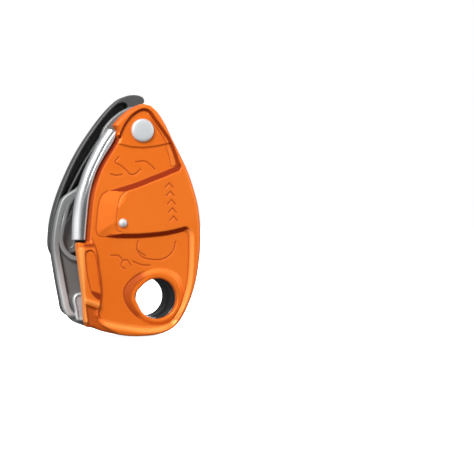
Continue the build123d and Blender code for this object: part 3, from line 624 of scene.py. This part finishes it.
# ------------------------------------------------------------------ swinging side plate
def build_moving_plate():
    f = Field((-36.4, 20.6), (-12.2, -3.2), (-17.2, 85.0), 0.2)
    outline = np.vstack([smooth_line(TOP_RIGHT), smooth_line(FLANGE_LEFT)[1:], smooth_line(LIP_EDGE)])
    O = area_distance(outline, f.X, f.Z)
    h, painted_shade, painted_highlight = plate_height(f.X, f.Z)
    # painted shade over the top-left corner, to dull its highlight
    painted_shade = np.maximum(painted_shade, 0.42 * ease((-6 - f.X) / 3) * ease((f.Z - 70.5) / 2) * ease((O + 1.8) / 0.9))
    s = f.slope(h)
    front = (-f.Y - f.up(h)) / f.up(s)
    k = 2.2 - 1.0 * ease((-27.5 - f.X) / 2.0) - 0.6 * ease((-8 - f.Z) / 5)
    keep = ease((70.5 - f.Z) / 2.0) * ease((f.Z - 24.6) / 0.8) * (f.X < -15)
    k = np.where(keep > 0, 0.5, k)
    body = smax(f.up(O), front, f.up(k))
    inner = f.Y + 6.5
    sheet = area_distance(np.vstack([smooth_line(SHEET_EDGE), [(-40, 25.1), (-40, 60), (-25, 74), (-18.0, 72.7)]]), f.X, f.Z)
    seat = smax(f.up(sheet), -(f.Y + 8.03), 0.15)
    body = smax(body, inner, 0.5)
    body = np.maximum(body, -seat)
    # flange wall
    fl = smooth_line(FLANGE_LEFT)
    mid = fl + np.array([1.15, 0.05])
    mid = mid[mid[:, 1] < 23.3]
    mid = np.vstack([[(-30.2, -10.6)], mid[mid[:, 1] > -9.2]])
    wall_d = line_distance(mid, f.X, f.Z) - 1.1
    tip = smax(f.up(wall_d), np.maximum(f.Y + 4.25, -(f.Y + 10.0)), 1.4)
    body = smin(body, tip, 0.8)
    # rebate under the end of the friction lip, coloured near black by painted shadow
    step = area_distance(np.array([(-35.3, 23.6), (-31.0, 23.6), (-31.0, 25.45), (-35.5, 25.45)]), f.X, f.Z)
    body = np.minimum(body, smax(f.up(step), np.maximum(f.Y + 5.6, -(f.Y + 8.4)), 0.15))
    hole = egg(f.X, f.Z)
    body = smax(body, -f.up(hole), 1.0)
    body = np.maximum(body, -(f.up(np.hypot(f.X - PIVOT[0], f.Z - PIVOT[1]) - 4.0)))
    ob = f.mesh("moving_side_plate_shell", body, adapt=0.0)
    # painted shade and painted highlight, on the front faces only
    w, co = sample(f, painted_shade, ob)
    facing = np.clip((-co[:, 1] - 7.2) / 0.6, 0, 1)
    attribute(ob, "painted_shade", np.clip(w * facing, 0, 1))
    # painted shadow: marks the rebate's faces behind the lip end
    attribute(ob, "painted_gap_shadow", np.clip((co[:, 2] - 24.2) / 0.2, 0, 1) * np.clip((25.9 - co[:, 2]) / 0.2, 0, 1) * np.clip((-31.2 - co[:, 0]) / 0.3, 0, 1) * np.clip((co[:, 1] + 9.3) / 0.4, 0, 1))
    # painted highlight on the flange's left face
    side = 0.55 * np.clip((co[:, 1] + 9.6) / 1.5, 0, 1) * np.clip((-31.4 - co[:, 0]) / 0.8, 0, 1) * np.clip((co[:, 2] + 11) / 3, 0, 1)
    attribute(ob, "painted_highlight", np.clip(np.maximum(sample(f, painted_highlight, ob)[0] * facing, side), 0, 1))
    return put(ob, "orange", "side_plate", "orange_anodised", "moving_side_plate")


build_moving_plate()

# ------------------------------------------------------------------ outlines of the other pieces (mm)
LIP_OUT = [(-36.9, 25.1), (-36.75, 31.9), (-36.2, 38.3), (-35.2, 44.6), (-33.6, 49.9), (-31.5, 55.7), (-28.8, 61.3), (-25.8, 67.0), (-23.3, 70.9), (-21.6, 73.2)]
FIXED_LEFT = [(-19.4, 74.4), (-21.0, 70.6), (-22.4, 66.0), (-24.4, 60.0), (-26.6, 54.6), (-28.8, 50.4)]
EAR = [(-32.4, 47.4), (-35.3, 45.7), (-38.2, 43.2), (-40.2, 38.0), (-41.8, 30.5), (-42.4, 22.5), (-40.4, 9.5), (-38.6, 0.0),
       (-37.2, -5.6), (-33.8, -9.8), (-28.6, -12.2)]
WINDOW = [(-31.6, 44.0), (-34.6, 40.6), (-36.4, 34.0), (-37.9, 25.6), (-36.6, 21.4), (-33.0, 18.4), (-29.6, 18.6),
          (-27.8, 22.0), (-27.8, 34.0), (-28.6, 41.8)]
LEVER_OUT = [(0.9, 87.6), (0.1, 88.9), (-1.6, 89.6), (-5.4, 89.7), (-10.0, 88.1), (-14.2, 84.6), (-18.8, 79.4), (-23.4, 73.2), (-27.8, 66.6), (-31.4, 60.2), (-34.6, 53.4), (-37.4, 46.6),
             (-39.6, 39.8), (-41.1, 33.2), (-41.8, 27.0), (-41.8, 22.6), (-40.8, 19.4), (-39.0, 16.8), (-36.6, 15.4)]
LEVER_IN = [(-36.6, 15.4), (-33.4, 15.2), (-30.4, 16.6), (-28.2, 18.9), (-27.4, 22.0), (-28.0, 26.0), (-28.8, 30.0), (-28.9, 34.0), (-28.6, 38.0), (-27.4, 44.6), (-25.4, 51.0), (-22.4, 57.9),
            (-18.6, 64.5), (-14.5, 70.4), (-10.0, 76.0), (-5.6, 80.6), (-1.2, 84.4), (0.6, 86.2), (0.9, 87.6)]
CAM_PROFILE = [(-90, 12.7), (-60, 13.0), (-30, 13.0), (0, 13.0), (30, 13.0), (60, 13.2), (85, 14.2), (105, 16.6), (118, 19.6),
               (125, 19.8), (131, 16.2), (140, 12.6), (165, 10.6), (200, 10.0), (240, 10.8)]
COVER_INNER = [(-41.0, 22.0), (-40.2, 17.0), (-38.6, 12.6), (-35.4, 10.0), (-30.0, 9.4), (-22.0, 10.2), (-14.0, 15.0), (-7.0, 20.6), (-2.2, 27.0), (-0.6, 35.0), (0.8, 46.0), (5.6, 56.6)]
SCREWS = [(10.0, 51.5), (-30.5, 2.0), (12.6, 10.4)]


def polar(centre, r, deg):
    return (centre[0] + r * math.cos(math.radians(deg)), centre[1] + r * math.sin(math.radians(deg)))


def dist(f, centre):
    return np.hypot(f.X - centre[0], f.Z - centre[1])


def slab(f, area, y0, y1, k0=0.5, k1=0.5):
    """A flat piece with rounded edges: area is its plane distance, y0 its front and y1 its back."""
    return smax(smax(f.up(area), y0 - f.Y, k0), f.Y - y1, k1)


def fixed_loop():
    right = smooth_line(TOP_RIGHT[:-2] + [(-28.6, -12.2)])
    return np.vstack([right, smooth_line(EAR[::-1])[1:], smooth_line(FIXED_LEFT[::-1])])


# ------------------------------------------------------------------ friction sheet with its rolled lip
def build_friction_plate():
    f = Field((-38.0, -8.6), (-10.9, -4.4), (24.2, 74.6), 0.19)
    out, edge = smooth_line(LIP_OUT), smooth_line(LIP_EDGE[:-1])
    edge = edge[edge[:, 1] > 25.1]
    edge = np.vstack([[(-31.75, 25.1)], edge]) + np.array([-0.08, 0.0])
    region = area_distance(np.vstack([out, [(-19.6, 72.6)], edge[::-1]]), f.X, f.Z)
    t = line_distance(out, f.X, f.Z)
    roll = 2.9
    h = np.where(t < roll, 10.05 - (roll - np.sqrt(np.maximum(roll * roll - (roll - t) ** 2, 0.0))), 10.05)
    h = h - 0.16 * np.exp(-((t - roll - 0.12) / 0.22) ** 2)
    inner = line_distance(edge, f.X, f.Z)
    h = h - 0.5 * ease((0.7 - inner) / 0.7)
    # the flat face turns a little towards the roll near its top
    h = h + 0.2 * ease((f.Z - 40) / 18) * np.clip(t - roll - 1.2, -1.2, 1.2)
    s = np.minimum(f.slope(h), 3.0)
    lip = smax(f.up(region), (-f.Y - f.up(h)) / f.up(s), 0.25)
    lip = smax(lip, f.Y + 5.2, 1.4)
    left = smooth_line([(-33.0, 25.1), (-32.3, 34.0), (-31.0, 45.0), (-28.2, 55.3), (-23.2, 64.6), (-20.4, 70.4)])
    sheet = area_distance(np.vstack([smooth_line(SHEET_EDGE), left, [(-20.0, 72.0), (-18.0, 72.6)]]), f.X, f.Z)
    F = smin(lip, slab(f, sheet, -8.0, -6.5, 0.3, 0.5), 0.6)
    F = np.maximum(F, 25.6 - f.Z[:, None, :])
    ob = f.mesh("friction_plate_sheet", F)
    # painted shade: the flat face darker low down, the roll darker towards its top, a dark line where roll meets flat,
    # and a lighter inner edge
    flat = ease((t - roll + 0.1) / 0.4) * ease((inner - 0.5) / 0.4)
    shade_2d = flat * (0.95 - 0.4 * ease((f.Z - 38) / 18)) + (1 - flat) * (0.1 + 0.56 * ease((f.Z - 30) / 20)) * (1 - 0.9 * ease((0.9 - inner) / 0.4))
    shade_2d = np.maximum(shade_2d, 0.9 * np.exp(-((t - roll - 0.1) / 0.3) ** 2))
    value, co = sample(f, shade_2d, ob)
    attribute(ob, "painted_shading", value)
    return put(ob, "polished", "side_plate", "stainless", "friction_plate")


# ------------------------------------------------------------------ rivets, liner and turned parts
def build_turned():
    put(lathe("main_rivet_turned", PIVOT, [(0, -11.62), (2.6, -11.6), (4.0, -11.5), (4.6, -11.34), (4.9, -11.0), (5.0, -10.5), (5.0, -10.02), (3.0, -10.0), (3.0, 9.7),
                                           (4.55, 9.72), (4.6, 10.3), (4.35, 10.75), (3.8, 10.98), (2.2, 11.05), (0, 11.06)], 128), "rivet", "frame", "rivet_steel", "main_rivet")
    dome = [(0, -12.7)] + [(1.95 * math.sin(a), -11.15 - 1.55 * math.cos(a)) for a in np.linspace(0.14, 1.45, 14)] + [(1.95, -10.9), (1.25, -10.9), (1.25, -6.55), (0, -6.55)]
    put(lathe("plate_rivet_domed", SMALL, dome, 72), "rivet", "side_plate", "rivet_steel", "plate_rivet")
    r = [(8.5, -5.6), (8.62, -6.0), (8.9, -6.24), (9.3, -6.3), (9.9, -6.3), (10.25, -6.2), (10.4, -5.9), (10.4, 12.4), (10.25, 12.75), (9.9, 12.9), (9.3, 12.9),
         (8.9, 12.84), (8.62, 12.6), (8.5, 12.2), (8.5, 4.6), (8.62, 4.4), (8.62, 3.9), (8.5, 3.7)]
    put(lathe("attachment_liner_moulded", (0, 0), r, 160, closed=True), "black", "frame", "black_nylon", "attachment_liner")
    cap = [(8.6, 13.4), (10.4, 13.4), (10.6, 13.7), (10.6, 16.2), (10.45, 16.8), (10.0, 17.3), (9.3, 17.55), (8.4, 17.6), (7.4, 17.58), (6.9, 17.4), (6.6, 17.1), (6.1, 17.0), (3.2, 17.0),
           (2.7, 17.1), (2.3, 17.35), (1.8, 17.42), (0, 17.45)]
    cap = [(0, 16.2), (8.6, 16.2)] + cap
    put(lathe("hub_cap_moulded", CAM, cap, 128), "nylon", "hub", "grey_nylon", "hub_cap")
    pin = [(0, 9.93), (2.0, 9.93), (2.0, 22.05), (3.2, 22.06), (3.4, 22.25), (3.38, 22.6), (3.1, 22.8), (2.4, 22.86), (1.3, 22.84), (1.0, 22.6), (0, 22.55)]
    put(lathe("fold_pin_turned", FOLD, pin, 96), "steel", "hub", "rivet_steel", "fold_pin")
    but = [(0, 16.0), (2.9, 16.0), (3.0, 16.1), (3.0, 18.8), (2.9, 19.15), (2.6, 19.36), (2.1, 19.4), (1.6, 19.3), (0, 19.18)]
    put(lathe("selector_button_moulded", SELECTOR, but, 72), "orange", "button", "orange_anodised", "selector_button")


# ------------------------------------------------------------------ fixed side plate
def build_fixed_plate():
    f = Field((-43.6, 20.8), (3.9, 10.4), (-17.4, 85.2))
    loop = fixed_loop()
    O = area_distance(loop, f.X, f.Z)
    ear = line_distance(smooth_line(EAR), f.X, f.Z)
    win = area_distance(smooth_line(WINDOW, closed=True), f.X, f.Z)
    # raised rim along the edge and round the window, with a flat crown
    keep = ease((f.Z + 9.4) / 2.4) * ease((50.0 - f.Z) / 4.0) * ease((-25.0 - f.X) / 3.0)
    crown = np.maximum(ease((3.3 - ear) / 0.9), ease((2.6 - win) / 0.9)) * keep
    front = 6.5 - 1.8 * crown + 0.35 * ease((win - 2.4) / 1.0) * ease((ear - 3.0) / 1.0) * keep
    s = f.slope(front)
    F = smax(f.up(O), (f.up(front) - f.Y) / f.up(s), 0.8)
    F = smax(F, f.Y - 9.7, 0.9)
    F = smax(F, -f.up(win), 0.5)
    for c, r in (((0, 0), 10.38), (PIVOT, 2.95), (CAM, 2.95), ((-26.4, 45.0), 1.64)):
        F = np.maximum(F, -(f.up(dist(f, c)) - r))
    slot = line_distance(np.array([polar(CAM, 8.0, a) for a in np.linspace(-51, -19, 17)]), f.X, f.Z) - 1.9
    F = smax(F, -f.up(slot), 0.3)
    ob = f.mesh("fixed_side_plate_forged", F)
    # painted light: the crown of the rim lighter in colour, less so higher up
    w, co = sample(f, crown, ob)
    attribute(ob, "painted_shading", np.clip((w - 0.35) / 0.3, 0, 1) * np.clip((9.0 - co[:, 1]) / 0.8, 0, 1) * (1 - 0.8 * ease((co[:, 2] - 0) / 26)))
    put(ob, "forged", "frame", "grey_aluminium", "fixed_side_plate")
    # guard along the right side
    g = Field((-5.0, 19.8), (-6.9, 7.1), (-16.5, 83.6), 0.3)
    line = smooth_line(TOP_RIGHT[6:26])
    nx = np.gradient(line[:, 0]); nz = np.gradient(line[:, 1]); ln = np.hypot(nx, nz)
    mid = line + 2.35 * np.stack([nz / ln, -nx / ln], -1)
    A = line_distance(mid, g.X, g.Z) - 1.28
    put(g.mesh("rope_guard_forged", slab(g, A, -6.3, 6.5, 0.8, 0.1)), "alu", "frame", "grey_aluminium", "rope_guard")
    # wear plate with a turned-up edge at the rope entry
    w = Field((-35.0, -16.8), (3.8, 7.0), (-11.4, 3.8), 0.17)
    loopw = smooth_line([(-32.1, -9.4), (-33.0, -5.0), (-33.8, -1.4), (-33.6, 0.6), (-32.6, 1.9), (-31.0, 2.4), (-24.0, 2.4), (-19.0, 2.2), (-18.1, 1.0), (-18.1, -9.0), (-19.0, -10.4), (-25.0, -10.6), (-30.0, -10.0)], closed=True)
    A = area_distance(loopw, w.X, w.Z)
    hh = 5.0 - 0.8 * ease(1.0 - np.abs(A + 0.7) / 0.9)
    F = smax(w.up(A), w.up(hh) - w.Y, 0.45)
    F = smax(F, w.Y - 6.52, 0.2)
    put(w.mesh("rope_wear_plate_pressed", F), "satin", "frame", "stainless", "rope_wear_plate")


# ------------------------------------------------------------------ handle
def build_lever():
    f = Field((-43.4, 2.6), (12.8, 22.8), (13.6, 91.2))
    out, inn = smooth_line(LEVER_OUT), smooth_line(LEVER_IN)
    A = area_distance(np.vstack([out, inn[1:-1]]), f.X, f.Z)
    edge = line_distance(out, f.X, f.Z)
    # the back is crowned along the grip, with a finger groove before the tip
    along = np.clip((f.Z - 30) / 55, 0, 1)
    back = 22.0 - 1.5 * ease((2.8 + A) / 3.4) * along - 0.25 * ease((0.0 - np.abs(A + 5.0) + 1.4) / 1.4) * along
    s = f.slope(back)
    F = smax(f.up(A), (f.Y - f.up(back)) / f.up(s), 1.6)
    F = smax(F, 13.6 - f.Y, 0.5)
    hollow = A + 1.15 + 2.6 * ease((f.X + 13.0) / 10.0)
    cav = smax(f.up(hollow), f.Y - 20.1, 1.0)
    foot = np.array([(-40.4, 26.0), (-39.2, 27.6), (-38.0, 31.6), (-36.8, 38.6), (-32.2, 45.6), (-25.4, 53.6)])
    below = np.interp(f.X, foot[:, 0], foot[:, 1]) - f.Z
    cav = smax(cav, f.up(below * 0.62), 1.0)
    tip = f.up(f.X + 5.2 + 0.5 * (f.Z - 82.0))          # solid tip
    cav = smax(cav, tip, 2.0)
    F = smax(F, -cav, 0.35)
    rib = line_distance(smooth_line([(-13.4, 77.8), (-18.2, 71.6), (-23.2, 64.2), (-27.0, 58.2), (-30.4, 51.9), (-34.6, 43.6), (-35.6, 40.4)]), f.X, f.Z) - 0.46
    F = np.minimum(F, smax(smax(f.up(rib), 14.3 - f.Y, 0.2), f.Y - 20.6, 0.1))
    F = np.maximum(F, -(f.up(dist(f, FOLD)) - 2.06))
    put(f.mesh("handle_lever_moulded", F), "nylon", "lever", "grey_nylon", "handle_lever")
    h = Field((-40.4, -1.4), (9.5, 13.8), (17.8, 47.8), 0.24)
    def arm_to(p, q, r0, r1):
        a, b = np.array(p), np.array(q)
        s = np.clip(((h.X - a[0]) * (b[0] - a[0]) + (h.Z - a[1]) * (b[1] - a[1])) / ((b - a) @ (b - a)), 0, 1)
        return np.hypot(h.X - a[0] - s * (b[0] - a[0]), h.Z - a[1] - s * (b[1] - a[1])) - (r0 + (r1 - r0) * s)
    lobe = (-28.9, 38.8)
    web = area_distance(np.array([CAM, FOLD, lobe]), h.X, h.Z)
    arm = np.minimum(np.minimum(arm_to(CAM, FOLD, 8.0, 4.6), arm_to(lobe, FOLD, 3.4, 4.6)), np.minimum(arm_to(CAM, lobe, 8.0, 3.4), web))
    A = smin(arm, dist(h, CAM) - 11.5, 2.5)
    F = slab(h, A, 9.9, 13.4, 0.3, 0.7)
    F = np.maximum(F, -(h.up(dist(h, CAM)) - 3.05))
    F = np.maximum(F, -(h.up(dist(h, FOLD)) - 1.98))
    slot = line_distance(np.array([polar(CAM, 8.0, x) for x in np.linspace(-46, -19, 15)]), h.X, h.Z) - 1.9
    F = smax(F, -h.up(slot), 0.3)
    put(h.mesh("handle_hub_plate", F), "steel", "hub", "cam_steel", "handle_hub")


# ------------------------------------------------------------------ rear cover, screws and mode selector
def build_cover():
    f = Field((-42.4, 21.0), (9.2, 13.5), (-18.0, 63.6))
    edge = TOP_RIGHT[11:-4] + [(-21.1, -13.4), (-28.4, -11.0), (-32.6, -8.6)] + EAR[-3:4:-1]
    line = smooth_line(edge)
    nx = np.gradient(line[:, 0]); nz = np.gradient(line[:, 1]); ln = np.hypot(nx, nz)
    line = line - 0.5 * np.stack([nz / ln, -nx / ln], -1)
    inner = smooth_line(COVER_INNER)
    A = area_distance(np.vstack([line, inner]), f.X, f.Z)
    # raised pad round the liner and the selector, and a shallow channel following the edge
    back = np.full(A.shape, 12.9) - 0.55 * ease(1 - np.abs(A + 3.0) / 0.9)
    back = back - 0.5 * ease((9.6 - dist(f, SELECTOR)) / 0.5)
    s = f.slope(back)
    F = smax(f.up(A), (f.Y - f.up(back)) / f.up(s), 1.5)
    F = smax(F, 9.72 - f.Y, 0.25)
    F = np.maximum(F, -(f.up(dist(f, (0, 0))) - 10.38))
    F = np.maximum(F, -(f.up(dist(f, SELECTOR)) - 2.6))
    for c in SCREWS:
        F = smax(F, -np.maximum(f.up(dist(f, c)) - 2.55, 11.4 - f.Y), 0.3)
    put(f.mesh("rear_cover_moulded", F), "nylon", "frame", "grey_nylon", "rear_cover")
    obs = []
    for i, c in enumerate(SCREWS):
        g = Field((c[0] - 2.7, c[0] + 2.7), (10.8, 13.2), (c[1] - 2.7, c[1] + 2.7), 0.11)
        F = slab(g, dist(g, c) - 2.4, 11.4, 12.88, 0.1, 0.5)
        ang = np.arctan2(g.Z - c[1], g.X - c[0])
        hexa = dist(g, c) * np.cos((ang % (math.pi / 3)) - math.pi / 6) - 1.1
        F = smax(F, -np.maximum(g.up(hexa), 11.95 - g.Y), 0.12)
        obs.append(g.mesh(f"cover_screw_{i + 1}", F))
    for ob in obs:
        put(ob, "rivet", "frame", "rivet_steel", "cover_screws")
    k = Field((-4.4, 13.4), (12.6, 18.9), (16.6, 34.4), 0.18)
    d = dist(k, SELECTOR)
    ang = np.arctan2(k.Z - SELECTOR[1], k.X - SELECTOR[0])
    scallop = 0.22 * np.cos(ang * 24)
    base = slab(k, d - 7.75 - scallop, 13.0, 15.0, 0.3, 0.7)
    wing = np.maximum(d - 6.6, np.abs(k.Z - SELECTOR[1]) - 4.2)
    wing = np.minimum(wing, d - 4.3)
    top = slab(k, wing, 13.4, 18.4, 0.3, 1.0)
    F = smin(base, top, 0.9)
    F = smax(F, -np.maximum(k.up(d) - 3.08, 13.9 - k.Y), 0.4)
    pointer = np.maximum(np.abs(k.Z - SELECTOR[1]) - 0.45, np.abs(k.X - SELECTOR[0] - 5.6) - 0.8)
    F = smax(F, -np.maximum(k.up(pointer), 17.9 - k.Y), 0.2)
    put(k.mesh("selector_knob_moulded", F), "black", "selector", "black_nylon", "selector_knob")


# ------------------------------------------------------------------ cam and pinch pad
def build_cam():
    f = Field((-28.2, 0.4), (-6.4, 6.4), (20.6, 56.4), 0.26)
    A = area_distance(smooth_line([polar(CAM, r, a) for a, r in CAM_PROFILE], closed=True), f.X, f.Z)
    ang = np.degrees(np.arctan2(f.Z - CAM[1], f.X - CAM[0]))
    nose = ease((ang - 84) / 14) * ease((128 - ang) / 4)
    A = A + 0.35 * nose * (0.5 + 0.5 * np.cos(np.radians(ang) * 80)) * ease((A + 2.5) / 2.0)
    d = f.up(dist(f, CAM))
    F = slab(f, A, -5.8, 5.8, 1.0, 1.0)
    keep = f.up(ease((70 - ang) / 14) * ease((ang + 104) / 12))
    groove = np.hypot(d - 19.2, f.Y) - 7.5
    F = np.where(keep > 0, smax(F, -groove + (1 - keep) * 3.0, 0.6), F)
    F = np.maximum(F, -(d - 4.5))
    F = np.maximum(F, -np.maximum(d - 7.6, f.Y + 2.3))
    put(f.mesh("cam_investment_cast", F), "steel", "cam_body", "cam_steel", "cam")
    g = Field((-20.0, -2.6), (-6.6, 6.9), (57.6, 66.0), 0.22)
    ang = np.degrees(np.arctan2(g.Z - CAM[1], g.X - CAM[0]))
    A = np.maximum(np.abs(dist(g, CAM) - 27.9) - 1.85, np.maximum(ang - 99.6, 68.2 - ang) * 0.46)
    A = A + 0.3 * (0.5 + 0.5 * np.cos(np.radians(ang) * 150)) * ease((27.0 - dist(g, CAM)) / 1.0)
    put(g.mesh("pinch_pad_toothed", slab(g, A, -6.15, 6.5, 0.8, 0.1)), "steel", "frame", "cam_steel", "pinch_pad")


build_friction_plate()
build_turned()
build_fixed_plate()
build_lever()
build_cover()
build_cam()

# the plain turned pins, springs and washers stay as they are, with a finish of their own
for node, mat in {"pivot_sleeve": "steel", "pivot_washer": "black", "cam_bushing": "bronze", "cam_axle": "rivet", "axle_clip": "spring", "cam_stop_pin": "rivet",
                  "drive_pin": "rivet", "cam_spring": "spring", "slip_spring": "spring", "selector_shaft": "rivet", "selector_button_spring": "spring"}.items():
    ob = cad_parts[node]
    for s in ob.material_slots:
        s.material = MAT[mat]


# ------------------------------------------------------------------ floor, world and lights
def studio():
    me = bpy.data.meshes.new("floor")
    s = 6.0
    z = CAD_BOX[0][2] - 0.0003
    me.from_pydata([(-s, -s, z), (s, -s, z), (s, s, z), (-s, s, z)], [], [(0, 1, 2, 3)])
    ob = bpy.data.objects.new("floor", me)
    bpy.context.scene.collection.objects.link(ob)
    m, nt, b = material("pale_floor")
    b.inputs["Base Color"].default_value = (0.80, 0.80, 0.80, 1)
    b.inputs["Roughness"].default_value = 0.9
    b.inputs["Emission Color"].default_value = (1, 1, 1, 1)
    b.inputs["Emission Strength"].default_value = 0.86
    ob.data.materials.append(m)
    ob.visible_diffuse = False
    ob.visible_glossy = False
    # the studio walls are white to look at; the light they give is stronger from above and from the left
    w = bpy.data.worlds.new("studio")
    bpy.context.scene.world = w
    w.use_nodes = True
    nt = w.node_tree
    nt.nodes.clear()
    out = nt.nodes.new("ShaderNodeOutputWorld")
    bg = nt.nodes.new("ShaderNodeBackground")
    tc = nt.nodes.new("ShaderNodeTexCoord")
    sep = nt.nodes.new("ShaderNodeSeparateXYZ")
    nt.links.new(tc.outputs["Generated"], sep.inputs[0])

    def ramp(source, stops):
        mr = nt.nodes.new("ShaderNodeMapRange")
        mr.inputs["From Min"].default_value = -1.0
        nt.links.new(source, mr.inputs["Value"])
        r = nt.nodes.new("ShaderNodeValToRGB")
        nt.links.new(mr.outputs[0], r.inputs[0])
        cr = r.color_ramp
        while len(cr.elements) < len(stops):
            cr.elements.new(0.5)
        for e, (pos, v) in zip(cr.elements, stops):
            e.position = (pos + 1) / 2
            e.color = (v, v, v, 1)
        return r.outputs[0]

    across = ramp(sep.outputs["X"], [(-1.0, 1.0), (-0.55, 0.9), (-0.15, 0.45), (0.2, 0.22), (0.48, 0.22), (0.72, 0.8), (1.0, 0.9)])
    height = ramp(sep.outputs["Z"], [(-1.0, 0.6), (-0.3, 0.65), (0.05, 0.9), (0.5, 1.0), (1.0, 1.0)])
    top = ramp(sep.outputs["Z"], [(-1.0, 0.0), (0.25, 0.0), (0.7, 0.45), (1.0, 0.6)])
    mul = nt.nodes.new("ShaderNodeMix")
    mul.data_type = "RGBA"
    mul.blend_type = "MULTIPLY"
    mul.inputs[0].default_value = 1.0
    nt.links.new(across, mul.inputs[6])
    nt.links.new(height, mul.inputs[7])
    behind = ramp(sep.outputs["Y"], [(-1.0, 1.0), (0.1, 1.0), (0.6, 0.3), (1.0, 0.2)])
    mul2 = nt.nodes.new("ShaderNodeMix")
    mul2.data_type = "RGBA"
    mul2.blend_type = "MULTIPLY"
    mul2.inputs[0].default_value = 1.0
    nt.links.new(mul.outputs[2], mul2.inputs[6])
    nt.links.new(behind, mul2.inputs[7])
    add = nt.nodes.new("ShaderNodeMix")
    add.data_type = "RGBA"
    add.blend_type = "ADD"
    add.inputs[0].default_value = 1.0
    nt.links.new(mul2.outputs[2], add.inputs[6])
    nt.links.new(top, add.inputs[7])
    seen = nt.nodes.new("ShaderNodeLightPath")
    pick = nt.nodes.new("ShaderNodeMix")
    pick.data_type = "RGBA"
    pick.inputs[7].default_value = (1, 1, 1, 1)
    nt.links.new(seen.outputs["Is Camera Ray"], pick.inputs[0])
    nt.links.new(add.outputs[2], pick.inputs[6])
    nt.links.new(pick.outputs[2], bg.inputs[0])
    bg.inputs[1].default_value = 1.0
    nt.links.new(bg.outputs[0], out.inputs[0])

    def area(name, loc, target, size, power, size_y=None):
        l = bpy.data.lights.new(name, "AREA")
        l.shape = "RECTANGLE"
        l.size = size
        l.size_y = size_y or size
        l.energy = power
        o = bpy.data.objects.new(name, l)
        o.location = loc
        o.rotation_euler = (Vector(target) - Vector(loc)).to_track_quat("-Z", "Y").to_euler()
        bpy.context.scene.collection.objects.link(o)
    c = (-0.01, 0, 0.035)
    area("key", (-0.62, -0.72, 0.72), c, 0.45, 14.5)
    area("back", (0.5, 0.8, 0.7), c, 0.5, 11.5)
    area("fill", (0.7, -0.6, 0.25), c, 0.5, 1.4)
    bpy.context.scene.view_settings.view_transform = "Standard"
    bpy.context.scene.view_settings.look = "None"
    bpy.context.scene.view_settings.exposure = 0.0


studio()
